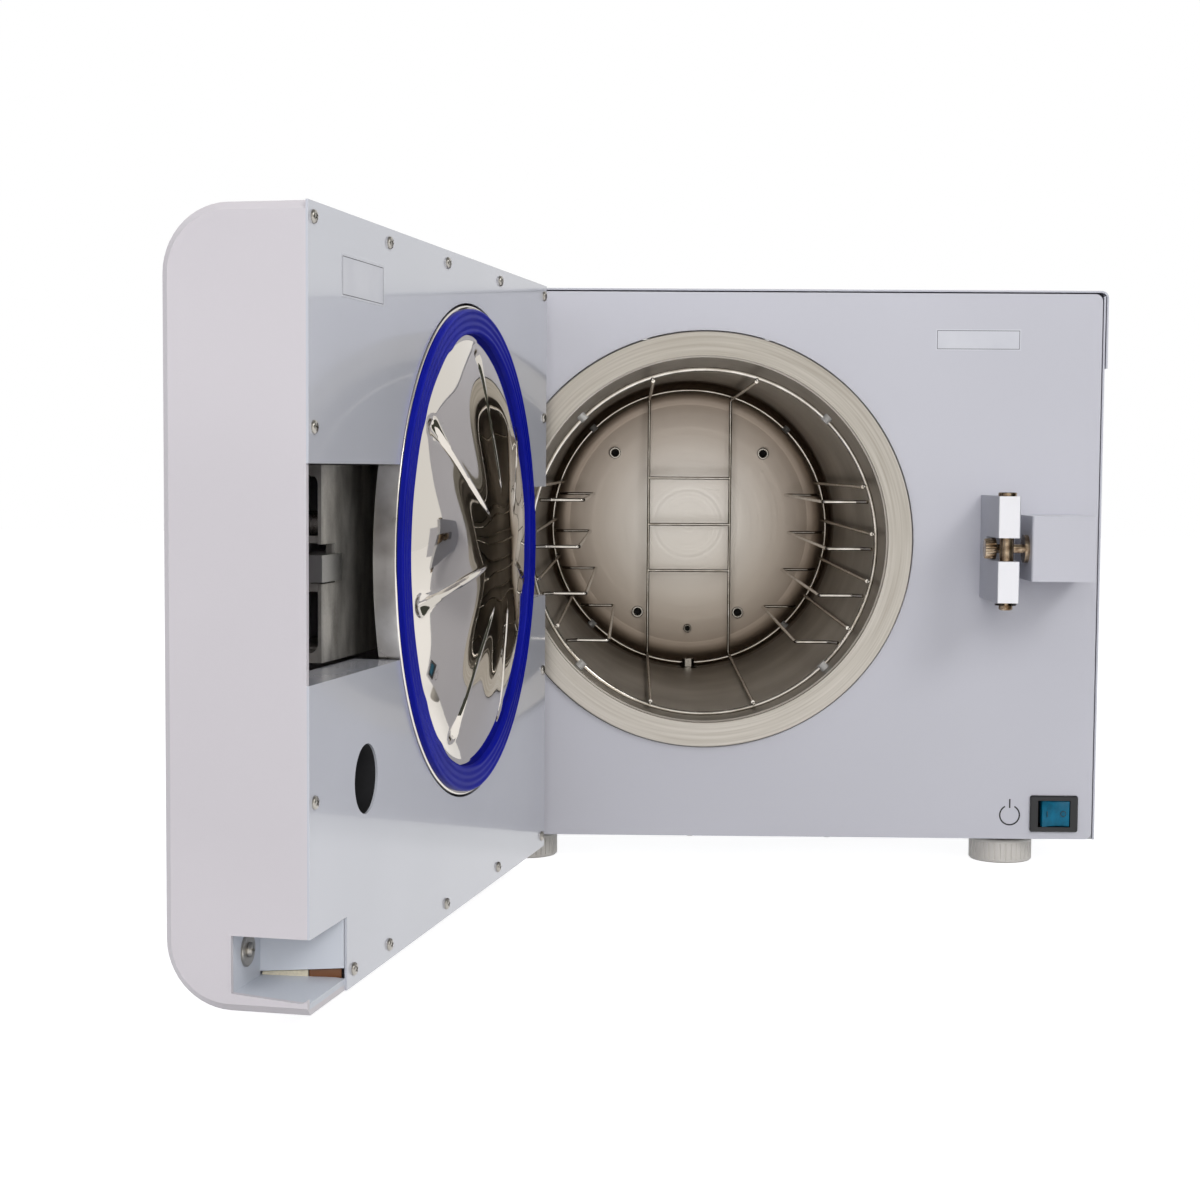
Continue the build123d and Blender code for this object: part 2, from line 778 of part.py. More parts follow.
write(drain_fitting, "drain_fitting")

# Wire rack: two rings, the long rods, the tray loops and the back ladder
rack_ys = (rack_y, rack_y + rack_length)
with BuildPart() as rack_rings:
    for ring_y in rack_ys:
        with Locations((chamber_x, ring_y, rack_z)):
            Torus(ring_radius, ring_wire, rotation=(90, 0, 0))
write(rack_rings, "rack_rings")

rod_inset = ring_radius - ring_wire - rack_wire - 0.1
levels = [loop_top - level * loop_pitch for level in range(loop_levels)]
with BuildPart() as rack_rods:
    rod_ends = (rack_ys[0] - ring_wire, rack_ys[1] + ring_wire)
    for side in (-1, 1):
        end_z = sqrt(rod_inset ** 2 - end_rod_x ** 2)
        for up in (-1, 1):
            rod_y(chamber_x + side * end_rod_x, rack_z + up * end_z, rod_ends, rack_wire)
        for level in levels:
            rod_height = level + rod_rise
            rod_reach = sqrt(rod_inset ** 2 - rod_height ** 2)
            rod_y(chamber_x + side * rod_reach, rack_z + rod_height, rod_ends, rack_wire)
write(rack_rods, "rack_rods")

with BuildPart() as rack_tray_loops:
    for side in (-1, 1):
        for level, reach in zip(levels, loop_reach):
            ring_x = sqrt((ring_radius - ring_wire - 0.2) ** 2 - level ** 2)
            front_y = rack_ys[0] + loop_inset
            far_y = rack_ys[1] - loop_inset
            outer_x = chamber_x + side * (ring_x - 1)
            inner_x = chamber_x + side * reach
            z = rack_z + level
            turn_x = outer_x - side * loop_return
            bent_rod([(outer_x, rack_ys[0], z), (turn_x, front_y, z), (inner_x, front_y, z),
                      (inner_x, far_y, z), (turn_x, far_y, z), (outer_x, rack_ys[1], z)],
                     loop_bend, rack_wire)
write(rack_tray_loops, "rack_tray_loops")

with BuildPart() as rack_ladder:
    ladder_y = rack_ys[1] + ring_wire + rack_wire + 0.1
    bar_z = sqrt(ring_radius ** 2 - end_rod_x ** 2)
    for side in (-1, 1):
        rod_z(chamber_x + side * end_rod_x, ladder_y, (rack_z - bar_z, rack_z + bar_z), rack_wire)
    for rung in (-1, 0, 1):
        rod_x(ladder_y, rack_z + 2 + rung * rung_pitch, (chamber_x - end_rod_x, chamber_x + end_rod_x),
              rack_wire)
write(rack_ladder, "rack_ladder")

# Plastic spacers that are clipped on the rings and rest on the tube
with BuildPart() as rack_spacers:
    for ring_y in rack_ys:
        for angle in spacer_angles:
            with Locations(Location((chamber_x, ring_y, rack_z), (0, -angle, 0))):
                reach = ring_radius + ring_wire
                drop = rack_drop * -sin(radians(angle))
                length = tube_bore - fit - drop - reach if angle > 180 else 1.6
                with Locations((reach + length / 2, 0, 0)):
                    Cylinder(spacer_radius, length, rotation=(0, 90, 0))
                with Locations((ring_radius, 0, 0)):
                    Cylinder(spacer_radius, 2 * ring_wire + 1, rotation=(0, 90, 0))
    for ring_y in rack_ys:
        with Locations((chamber_x, ring_y, rack_z)):
            Torus(ring_radius, ring_wire + 0.02, rotation=(90, 0, 0), mode=Mode.SUBTRACT)
write(rack_spacers, "rack_spacers")

# Catch clevis, painted steel with two machined ears
clevis = (chamber_x + clevis_x, chamber_x + clevis_x + clevis_width)
clevis_mid = (clevis[0] + clevis[1]) / 2
pin_y = panel_y - pin_setback
with BuildPart() as catch_clevis:
    block(clevis, (panel_y - clevis_reach, panel_y), (chamber_z + clevis_bottom, chamber_z + clevis_top))
    chamfer(catch_clevis.edges().filter_by(Axis.Z).group_by(Axis.Y)[0], 0.6)
    block((clevis[0] - 1, clevis[1] + 1), (panel_y - clevis_reach - 1, panel_y - gap_floor),
          (latch_z - ear_gap / 2, latch_z + ear_gap / 2), mode=Mode.SUBTRACT)
    rod_z(clevis_mid, pin_y, (chamber_z + clevis_bottom - 1, chamber_z + clevis_top + 1),
          pin_radius + running / 2, mode=Mode.SUBTRACT)
write(catch_clevis, "catch_clevis")

# Catch pin with its head above and its tail, grooved for a clip, below
with BuildPart() as catch_pin:
    pin_low = chamber_z + clevis_bottom - pin_tail
    pin_high = chamber_z + clevis_top
    clip_z = chamber_z + clevis_bottom - 1.8
    rod_z(clevis_mid, pin_y, (pin_low, pin_high + pin_head_height), pin_radius)
    rod_z(clevis_mid, pin_y, (pin_high, pin_high + pin_head_height), pin_head)
    chamfer(catch_pin.edges().filter_by(GeomType.CIRCLE).group_by(Axis.Z)[-1], 0.5)
    chamfer(catch_pin.edges().filter_by(GeomType.CIRCLE).group_by(Axis.Z)[0], 0.7)
    with BuildSketch(Plane.XY.offset(clip_z)):
        with Locations((clevis_mid, pin_y)):
            Circle(pin_radius + 1)
            Circle(pin_radius - 1, mode=Mode.SUBTRACT)
    extrude(amount=clip_thickness, mode=Mode.SUBTRACT)
write(catch_pin, "catch_pin")

# Spring clip in the pin's groove
with BuildPart() as catch_clip:
    with BuildSketch(Plane.XY.offset(clip_z)):
        with Locations((clevis_mid, pin_y)):
            Circle(clip_radius)
            Circle(pin_radius - 1, mode=Mode.SUBTRACT)
            with Locations((0, -clip_radius)):
                Rectangle(1.7 * (pin_radius - 1), 2 * clip_radius, mode=Mode.SUBTRACT)
    extrude(amount=clip_thickness)
write(catch_clip, "catch_clip")

# Lock bolt that the tongue pushes back, and that the solenoid holds
bolt_y = panel_y - bolt_setback
bolt_x = chamber_x + clevis_x - bolt_out
bolt_end = chamber_x + box_left + bolt_rear
ring_x = (chamber_x + box_left - 2.9, chamber_x + box_left)
with BuildPart() as lock_bolt:
    with Locations((bolt_x + bolt_knob_length / 2, bolt_y, latch_z)):
        Cone(bolt_knob_tip, bolt_knob, bolt_knob_length, rotation=(0, 90, 0))
    rod_x(bolt_y, latch_z, (bolt_x + bolt_knob_length, bolt_end), bolt_radius)
write(lock_bolt, "lock_bolt")

# Lock box, a folded cover on the panel, and the solenoid inside with its nut outside
lock_z = (latch_z + 21.75 - box_height, latch_z + 21.75)
lock_x = (chamber_x + box_left, chamber_x + box_left + box_width)
with BuildPart() as lock_box:
    block(lock_x, (panel_y - box_reach, panel_y), lock_z)
    fillet(lock_box.edges().filter_by(Axis.Z).group_by(Axis.Y)[0], 1.5)
    block((lock_x[0] + box_sheet, lock_x[1] - box_sheet), (panel_y - box_reach + box_sheet, panel_y + 1),
          (lock_z[0] + box_sheet, lock_z[1] - box_sheet), mode=Mode.SUBTRACT)
    rod_x(bolt_y, latch_z, (lock_x[0] - 1, lock_x[0] + 3), 6.0 + fit, mode=Mode.SUBTRACT)
write(lock_box, "lock_box")

with BuildPart() as lock_solenoid:
    rod_x(bolt_y, latch_z, ring_x, ring_flange)
    rod_x(bolt_y, latch_z, (ring_x[0], lock_x[0] + box_sheet), 6.0)
    block((lock_x[0] + box_sheet, lock_x[1] - 6), (bolt_y - coil_size / 2, bolt_y + coil_size / 2),
          (latch_z - coil_size / 2, latch_z + coil_size / 2))
    rod_x(bolt_y, latch_z, (ring_x[0] - 1, bolt_end + bolt_travel + bolt_end_gap), bolt_radius + running,
          mode=Mode.SUBTRACT)
write(lock_solenoid, "lock_solenoid")

# Power switch: a bezel snapped into the panel, and a rocker on a cross pin
bezel_mid_x = chamber_x + bezel_left + bezel_width / 2
bezel_mid_z = chamber_z + bezel_top - bezel_height / 2
rocker_y = panel_y + 4.0
with BuildPart() as switch_bezel:
    with BuildSketch(upright(panel_y - bezel_proud)):
        with Locations((bezel_mid_x, bezel_mid_z)):
            RectangleRounded(bezel_width, bezel_height, 1.5)
    extrude(amount=-bezel_proud)
    chamfer(switch_bezel.faces().sort_by(Axis.Y)[0].edges(), 0.8)
    block((bezel_x[0] + fit, bezel_x[1] - fit), (panel_y - 0.1, panel_y + 22),
          (bezel_z[0] + fit, bezel_z[1] - fit))
    block((bezel_mid_x - rocker_width / 2 - rocker_gap, bezel_mid_x + rocker_width / 2 + rocker_gap),
          (panel_y - 5, panel_y + 20),
          (bezel_mid_z - rocker_height / 2 - rocker_gap, bezel_mid_z + rocker_height / 2 + rocker_gap),
          mode=Mode.SUBTRACT)
    rod_z(bezel_mid_x, rocker_y, (bezel_z[0] + 1, bezel_z[1] - 1), 1.5)
write(switch_bezel, "switch_bezel")

with BuildPart() as switch_rocker:
    half = rocker_width / 2 - 1
    with BuildSketch(Plane.XY.offset(bezel_mid_z - rocker_height / 2)):
        with BuildLine():
            ThreePointArc((-half, -7.4), (0, -4.6), (half, -7.4))
            Polyline((half, -7.4), (half - 1, 3.0), (-half + 1, 3.0), (-half, -7.4))
        make_face()
        Circle(3.4)
    extrude(amount=rocker_height)
with BuildPart() as rocker_bored:
    add(switch_rocker.part.rotate(Axis.Z, rocker_throw / 2).moved(Location((bezel_mid_x, rocker_y, 0))))
    rod_z(bezel_mid_x, rocker_y, (bezel_z[0], bezel_z[1]), 1.5 + running, mode=Mode.SUBTRACT)
write(rocker_bored, "switch_rocker")

# Hinge bracket on the panel, with its pin
lug_in = knuckle_height / 2 + lug_gap
lug_out = lug_in + lug_thickness
with BuildPart() as hinge_bracket:
    block((chamber_x + bracket_left, chamber_x + bracket_right), (panel_y - bracket_plate, panel_y),
          (chamber_z - lug_out, chamber_z + lug_out))
    for up in (-1, 1):
        lug_z = (chamber_z + up * lug_in, chamber_z + up * lug_out)
        block((hinge_x - knuckle_radius, hinge_x + knuckle_radius), (hinge_y, panel_y - bracket_plate), lug_z)
        rod_z(hinge_x, hinge_y, lug_z, knuckle_radius)
        rod_z(hinge_x, hinge_y, lug_z, hinge_pin_radius + 0.02, mode=Mode.SUBTRACT)
    for screw_z in (chamber_z - 14, chamber_z + 14):
        rod_y(hinge_x - 12, screw_z, (panel_y - bracket_plate - 3, panel_y - bracket_plate), 4.5)
        rod_y(hinge_x + 4, screw_z, (panel_y - bracket_plate - 3, panel_y - bracket_plate), 4.5)
write(hinge_bracket, "hinge_bracket")

with BuildPart() as hinge_pin:
    rod_z(hinge_x, hinge_y, (chamber_z - lug_out - 1.2, chamber_z + lug_out), hinge_pin_radius)
    rod_z(hinge_x, hinge_y, (chamber_z + lug_out, chamber_z + lug_out + 1.4), hinge_pin_radius + 3)
write(hinge_pin, "hinge_pin")


# Door shell, a moulded cover with large corners above and below and a chamfered front edge
def door_section(inset):
    """The shell's outline across the door, from depth and height, set in by this much."""
    low = chamber_z + door_bottom + inset
    high = chamber_z + door_top - inset
    near = door_y(cover_sheet)
    far = door_y(door_thickness - inset)
    round_off = door_corner - inset
    with BuildLine(mode=Mode.PRIVATE) as outline:
        Polyline((near, low), (far + round_off, low))
        RadiusArc((far + round_off, low), (far, low + round_off), round_off)
        Polyline((far, low + round_off), (far, high - round_off))
        RadiusArc((far, high - round_off), (far + round_off, high), round_off)
        Polyline((far + round_off, high), (near, high), (near, low))
    make_face(outline.line.edges())


with BuildPart() as door_shell:
    with BuildSketch(Plane.YZ.offset(door_x)):
        door_section(0)
    extrude(amount=door_width)
    rim = door_shell.edges().filter_by(lambda e: e.center().Y < door_y(door_thickness - door_corner) + 0.01
                                       and abs(e.center().X - door_x - door_width / 2) > door_width / 2 - 0.1)
    chamfer(rim, door_chamfer)
    with BuildSketch(Plane.YZ.offset(door_x + door_wall)):
        door_section(door_wall)
    extrude(amount=door_width - 2 * door_wall, mode=Mode.SUBTRACT)
    block((door_x - 1, door_x + door_wall + 1), (door_y(door_thickness - 4), door_y(0)),
          (chamber_z - hinge_notch, chamber_z + hinge_notch), mode=Mode.SUBTRACT)
    with BuildSketch(Plane.YZ.offset(door_x + door_width - door_wall - 1)):
        with BuildLine():
            Polyline((door_y(0), chamber_z + notch_top), (door_y(notch_depth), chamber_z + notch_top),
                     (door_y(notch_depth), chamber_z + notch_floor_back),
                     (door_y(0), chamber_z + notch_floor_front), (door_y(0), chamber_z + notch_top))
        notch_face = make_face()
        fillet(notch_face.vertices().group_by(Axis.Y)[0], notch_corner)
    extrude(amount=door_wall + 2, mode=Mode.SUBTRACT)
    rod_y(door_x + gear_x, gear_z, (door_y(door_thickness + 1), door_y(board_front)), shaft_radius + fit,
          mode=Mode.SUBTRACT)
    block((door_x + display_x - display_width / 2, door_x + display_x + display_width / 2),
          (door_y(door_thickness + 1), door_y(board_front)),
          (chamber_z + display_z - display_height / 2, chamber_z + display_z + display_height / 2),
          mode=Mode.SUBTRACT)
    for key in (-1, 0, 1):
        rod_y(door_x + display_x + key * key_pitch, chamber_z + key_z,
              (door_y(door_thickness + 1), door_y(board_front)), key_radius + key_clearance,
              mode=Mode.SUBTRACT)
write(door_shell, "door_shell", turned=True)

# Inner cover, two glossy sheets above and below the crossbar
with BuildPart() as door_inner_cover:
    block((door_x, door_x + door_width), (door_y(0), door_y(cover_sheet)),
          (chamber_z + door_bottom, chamber_z + door_top))
    for flange_z in ((cutout_bottom - cover_sheet, cutout_bottom), (cutout_top, cutout_top + cover_sheet)):
        block((door_x + cutout_left + 12, door_x + door_width - door_wall - fit),
              (door_y(0), door_y(cutout_flange)), (chamber_z + flange_z[0], chamber_z + flange_z[1]))
    rod_y(door_x + disc_x, chamber_z, (door_y(-1), door_y(cutout_flange + 1)), disc_hole, mode=Mode.SUBTRACT)
    block((door_x + cutout_left, door_x + door_width + 1), (door_y(-1), door_y(cutout_flange + 1)),
          (chamber_z + cutout_bottom, chamber_z + cutout_top), mode=Mode.SUBTRACT)
    block((door_x - 1, door_x + hinge_inset + 22), (door_y(-1), door_y(cover_sheet + 1)),
          (chamber_z - hinge_notch, chamber_z + hinge_notch), mode=Mode.SUBTRACT)
    rod_y(door_x + port_hole_x, chamber_z + port_hole_z, (door_y(-1), door_y(cover_sheet + 1)),
          port_hole_radius, mode=Mode.SUBTRACT)
    block((door_x + notch_left, door_x + door_width + 1), (door_y(-1), door_y(cover_sheet + 1)),
          (chamber_z + door_bottom - 1, chamber_z + notch_top), mode=Mode.SUBTRACT)
write(door_inner_cover, "door_inner_cover", turned=True)

# Screws round the inner cover, and the washer screw in the notch
with BuildPart() as door_cover_screws:
    heads = [(x, cover_screw_top) for x in cover_screw_x]
    heads += [(x, cover_screw_bottom) for x in cover_screw_x[:-1]]
    heads += [low_right_screw]
    heads += [(cover_screw_x[-1], cover_screw_side_z[0]), (cover_screw_x[0], cover_screw_side_z[1])]
    heads += [(cover_screw_x[-1], cover_screw_low_z[0]), (cover_screw_x[0], cover_screw_low_z[1])]
    for head_x, head_z in heads:
        rod_y(door_x + head_x, chamber_z + head_z, (door_y(-screw_head), door_y(0)), screw_radius)
    chamfer(door_cover_screws.edges().filter_by(GeomType.CIRCLE).group_by(Axis.Y)[-1], 0.6)
    washer_at = (door_x + door_width - washer_from_edge, chamber_z + washer_z)
    washer_y = door_y(notch_depth - washer_thickness)
    rod_y(*washer_at, (washer_y, door_y(notch_depth)), washer_radius)
    rod_y(*washer_at, (washer_y, washer_y + washer_head_height), washer_head)
write(door_cover_screws, "door_cover_screws", turned=True)

# Liner of the notch that gives access to the power switch
liner_right = door_x + door_width - door_wall - fit
with BuildPart() as door_notch_liner:
    with BuildSketch(Plane.XY.offset(chamber_z + notch_wall_low)):
        with BuildLine():
            Polyline((liner_right, door_y(notch_depth)), (door_x + notch_back_left, door_y(notch_depth)),
                     (door_x + notch_left, door_y(cover_sheet + fit)),
                     (door_x + notch_left - liner_sheet, door_y(cover_sheet + fit)),
                     (door_x + notch_back_left - liner_sheet, door_y(notch_depth + liner_sheet)),
                     (liner_right, door_y(notch_depth + liner_sheet)), (liner_right, door_y(notch_depth)))
        make_face()
    extrude(amount=notch_top - notch_wall_low + liner_sheet)
    with BuildSketch(Plane.XY.offset(chamber_z + notch_top)):
        with BuildLine():
            Polyline((liner_right, door_y(notch_depth)), (door_x + notch_back_left, door_y(notch_depth)),
                     (door_x + notch_left, door_y(cover_sheet + fit)),
                     (liner_right, door_y(cover_sheet + fit)), (liner_right, door_y(notch_depth)))
        make_face()
    extrude(amount=liner_sheet)
    with BuildSketch(Plane.YZ.offset(door_x + notch_left)):
        with BuildLine():
            Polyline((door_y(cover_sheet), chamber_z + notch_floor_front),
                     (door_y(notch_depth + liner_sheet), chamber_z + notch_floor_back),
                     (door_y(notch_depth + liner_sheet), chamber_z + door_bottom + door_wall),
                     (door_y(cover_sheet), chamber_z + door_bottom + door_wall),
                     (door_y(cover_sheet), chamber_z + notch_floor_front))
        make_face()
    extrude(amount=liner_right - door_x - notch_left)
    block((door_x + notch_back_left, liner_right), (door_y(notch_depth), door_y(notch_depth + liner_sheet)),
          (chamber_z + notch_floor_back - 1, chamber_z + notch_wall_low))
write(door_notch_liner, "door_notch_liner", turned=True)

# Black cup behind the round hole of the inner cover
with BuildPart() as door_port_cup:
    cup = (door_y(cover_sheet), door_y(cover_sheet + cup_depth))
    rod_y(door_x + port_hole_x, chamber_z + port_hole_z, cup, port_hole_radius + 3)
    rod_y(door_x + port_hole_x, chamber_z + port_hole_z, (cup[0] + 1, cup[1] + 2), port_hole_radius,
          mode=Mode.SUBTRACT)
write(door_port_cup, "door_port_cup", turned=True)

# Crossbar, an aluminium casting that carries the disc, the tongue and the hinge knuckle
with BuildPart() as door_crossbar:
    block((door_x + bar_start, door_x + bar_end), (door_y(bar_front), door_y(bar_front + bar_depth)),
          (chamber_z + bar_bottom, chamber_z + bar_top))
    block((door_x + bar_start + bar_wall, door_x + bar_end - bar_pocket),
          (door_y(bar_front + bar_wall), door_y(bar_front + bar_depth + 1)),
          (chamber_z + bar_bottom + bar_wall, chamber_z + bar_top - bar_wall), mode=Mode.SUBTRACT)
    with BuildSketch(Plane.YZ.offset(door_x + bar_end - bar_pocket - 1)):
        with BuildLine():
            pocket = (door_y(bar_front + bar_skin), door_y(bar_front + bar_depth + 1))
            pocket_z = (chamber_z + bar_bottom + bar_rim, chamber_z + bar_top - bar_rim)
            FilletPolyline((pocket[1], pocket_z[0]), (pocket[0], pocket_z[0]), (pocket[0], pocket_z[1]),
                           (pocket[1], pocket_z[1]), radius=5)
            Line((pocket[1], pocket_z[0]), (pocket[1], pocket_z[1]))
        make_face()
    extrude(amount=bar_pocket + 2, mode=Mode.SUBTRACT)
    block((hinge_x, door_x + bar_start + bar_wall), (door_y(bar_front + bar_wall), door_y(neck_rear)),
          (chamber_z - neck_half, chamber_z + neck_half))
    rod_z(hinge_x, hinge_y, (chamber_z - knuckle_height / 2, chamber_z + knuckle_height / 2), knuckle_radius)
    rod_z(hinge_x, hinge_y, (chamber_z - knuckle_height, chamber_z + knuckle_height),
          hinge_pin_radius + running, mode=Mode.SUBTRACT)
    boss_front = disc_set - dome_height + dome_wall + boss_gap
    rod_y(door_x + disc_x, chamber_z, (door_y(bar_front), door_y(boss_front)), boss_radius)
    for rib_x in bar_ribs:
        block((door_x + rib_x, door_x + rib_x + bar_rib),
              (door_y(bar_front + 1), door_y(bar_front + bar_depth)),
              (chamber_z + bar_bottom + 1, latch_z - ear_gap))
    rod_y(door_x + gear_x, gear_z, (door_y(bar_front + 1), door_y(gear_front - fit)), gear_boss)
    rod_y(door_x + gear_x, gear_z, (door_y(bar_front + 3), door_y(gear_front)), shaft_nose + running,
          mode=Mode.SUBTRACT)
    rail_x = (door_x + bar_end - rail_back, door_x + bar_end - rail_front)
    rail_end = door_y(tongue_rear + fit + rail_depth)
    for rail_z in ((slot_bottom - rail_depth, slot_bottom + 0.6), (slot_top + 0.4, slot_top + rail_depth)):
        block(rail_x, (door_y(bar_front + 1), rail_end), (chamber_z + rail_z[0], chamber_z + rail_z[1]))
    block(rail_x, (door_y(tongue_rear + fit), rail_end),
          (chamber_z + slot_bottom - rail_depth, chamber_z + slot_top + rail_depth))
    block((door_x + slide_back, door_x + slot_start - 8), (door_y(bar_front + 1), door_y(tongue_rear)),
          (latch_z - tongue_height / 2 - 4, latch_z - tongue_height / 2 - fit))
    block((door_x + slot_start, door_x + bar_end + 1),
          (door_y(bar_front - 1), door_y(bar_front + bar_wall + 1)),
          (chamber_z + slot_bottom, chamber_z + slot_top), mode=Mode.SUBTRACT)
write(door_crossbar, "door_crossbar", turned=True)

# Pressure disc, a dished stainless plate with radial grooves and a deep rim
with BuildPart() as door_disc:
    disc_axis = Axis((door_x + disc_x, 0, chamber_z), (0, 1, 0))
    with BuildSketch(Plane.XY.offset(chamber_z)):
        with BuildLine():
            mid_x = door_x + disc_x
            sphere = (dome_radius ** 2 + dome_height ** 2) / (2 * dome_height)
            half_way = sphere - sqrt(sphere ** 2 - (dome_radius / 2) ** 2)
            crest = disc_set - dome_height
            ThreePointArc((mid_x, door_y(crest)), (mid_x + dome_radius / 2, door_y(crest + half_way)),
                          (mid_x + dome_radius, door_y(disc_set)))
            Polyline((mid_x + dome_radius, door_y(disc_set)), (mid_x + disc_radius, door_y(disc_set)),
                     (mid_x + disc_radius, door_y(disc_rim_depth)),
                     (mid_x + disc_radius - disc_wall, door_y(disc_rim_depth)),
                     (mid_x + disc_radius - disc_wall, door_y(disc_set + dome_wall)),
                     (mid_x + dome_radius, door_y(disc_set + dome_wall)))
            ThreePointArc((mid_x + dome_radius, door_y(disc_set + dome_wall)),
                          (mid_x + dome_radius / 2, door_y(crest + half_way + dome_wall)),
                          (mid_x, door_y(crest + dome_wall)))
            Line((mid_x, door_y(crest + dome_wall)), (mid_x, door_y(crest)))
        make_face()
    revolve(axis=disc_axis)
    slope = (dome_height * (1 - (rib_inner / dome_radius) ** 2)) / (rib_outer - rib_inner)
    rib_run = rib_outer - rib_inner
    for rib in range(rib_count):
        turn = 90 + rib * 360 / rib_count
        spot = Plane(origin=(mid_x, door_y(disc_set), chamber_z),
                     x_dir=(cos(radians(turn)), 0, sin(radians(turn))),
                     z_dir=(-sin(radians(turn)), 0, cos(radians(turn))))
        tilt = degrees(atan2(slope * rib_run, rib_run))
        with Locations(spot.location):
            with Locations(Location(((rib_outer + rib_inner) / 2, slope * rib_run / 2 + rib_lift, 0),
                                    (0, 0, -tilt))):
                Cone(rib_narrow, rib_wide, hypot(rib_run, slope * rib_run), rotation=(0, 90, 0),
                     mode=Mode.SUBTRACT)
write(door_disc, "door_disc", turned=True)

# Gasket, a silicone ring seated on the disc's rim
with BuildPart() as door_gasket:
    seat_y = (door_y(-gasket_proud), door_y(disc_set))
    rod_y(door_x + disc_x, chamber_z, seat_y, gasket_outer)
    rod_y(door_x + disc_x, chamber_z, (seat_y[0] + 1, seat_y[1] - 1), gasket_inner, mode=Mode.SUBTRACT)
    fillet(door_gasket.edges().filter_by(GeomType.CIRCLE).group_by(Axis.Y)[-1], gasket_round)
write(door_gasket, "door_gasket", turned=True)

# Tongue that slides behind the catch pin, with the rack that moves it
with BuildPart() as latch_tongue:
    tongue_z = (latch_z - tongue_height / 2, latch_z + tongue_height / 2)
    block((door_x + tongue_back, door_x + tongue_tip), (door_y(tongue_front), door_y(tongue_rear)), tongue_z)
    block((door_x + tongue_pad, door_x + tongue_tip),
          (door_y(tongue_front), door_y(tongue_front + tongue_pad_depth)), tongue_z)
    block((door_x + slide_back, door_x + tongue_tip), (door_y(slide_front), door_y(tongue_rear)), tongue_z)
    tooth_pitch = pi * gear_module
    tooth_flat = tooth_pitch / 2 - gear_backlash
    lean = tan(radians(pressure_angle))
    for tooth in range(rack_teeth_count):
        tooth_x = door_x + gear_x + (2 - tooth) * tooth_pitch
        pitch_line = tongue_z[1] + 1.25 * gear_module
        low_half = tooth_flat / 2 + 1.25 * gear_module * lean
        high_half = tooth_flat / 2 - gear_module * lean
        with BuildSketch(upright(door_y(gear_front + gear_width))):
            with BuildLine():
                Polyline((tooth_x - low_half, tongue_z[1] - 0.5), (tooth_x - low_half, tongue_z[1]),
                         (tooth_x - high_half, pitch_line + gear_module),
                         (tooth_x + high_half, pitch_line + gear_module), (tooth_x + low_half, tongue_z[1]),
                         (tooth_x + low_half, tongue_z[1] - 0.5), (tooth_x - low_half, tongue_z[1] - 0.5))
            make_face()
        extrude(amount=-gear_width)
write(latch_tongue, "latch_tongue", turned=True)


def involute(base_radius, radius, offset, side):
    """A point of an involute flank at this radius, turned by an offset angle."""
    roll = sqrt((radius / base_radius) ** 2 - 1)
    angle = offset + side * (roll - atan2(roll, 1))
    return radius * cos(angle), radius * sin(angle)


# Pinion and its shaft, turned by the handle
with BuildPart() as latch_pinion:
    base_radius = gear_pitch * cos(radians(pressure_angle))
    half_tooth = (tooth_flat / 2) / gear_pitch
    flank_at_pitch = sqrt((gear_pitch / base_radius) ** 2 - 1)
    offset = half_tooth + flank_at_pitch - atan2(flank_at_pitch, 1)
    flank_start = max(base_radius, gear_root + 0.1)
    steps = [flank_start + (gear_tip - flank_start) * step / 4 for step in range(5)]
    with BuildSketch(upright(door_y(gear_front + gear_width))):
        with Locations((door_x + gear_x, gear_z)):
            Circle(gear_root + 0.05)
        for tooth in range(gear_teeth):
            with Locations(Location((door_x + gear_x, gear_z), -90 + 360 / gear_teeth * (tooth + 0.5))):
                with BuildLine(mode=Mode.PRIVATE) as flank:
                    right = [involute(base_radius, r, -offset, 1) for r in steps]
                    left = [involute(base_radius, r, offset, -1) for r in reversed(steps)]
                    foot = gear_root - 1
                    Polyline((foot * cos(offset), -foot * sin(offset)), *right, *left,
                             (foot * cos(offset), foot * sin(offset)),
                             (foot * cos(offset), -foot * sin(offset)))
                add(make_face(flank.line.edges(), mode=Mode.PRIVATE))
    extrude(amount=-gear_width)
    rod_y(door_x + gear_x, gear_z, (door_y(gear_front), door_y(door_thickness + handle_standoff)),
          shaft_radius)
    rod_y(door_x + gear_x, gear_z, (door_y(bar_front + 4), door_y(gear_front)), shaft_nose)
write(latch_pinion, "latch_pinion", turned=True)

# Handle, a lever that hangs down when the tongue is drawn back
with BuildPart() as door_handle:
    hub_y = (door_y(door_thickness + 0.6), door_y(door_thickness + handle_standoff + handle_thickness))
    lever_y = (door_y(door_thickness + handle_standoff), hub_y[1])
    rod_y(door_x + gear_x, gear_z, hub_y, handle_hub)
    with BuildSketch(upright(lever_y[1])):
        with Locations((door_x + gear_x, gear_z - handle_length / 2)):
            SlotCenterToCenter(handle_length, handle_width, rotation=90)
    extrude(amount=-handle_thickness)
    fillet(door_handle.faces().sort_by(Axis.Y)[0].edges(), 3.0)
    rod_y(door_x + gear_x, gear_z, (door_y(door_thickness), door_y(door_thickness + handle_standoff)),
          shaft_radius + 0.02, mode=Mode.SUBTRACT)
write(door_handle, "door_handle", turned=True)

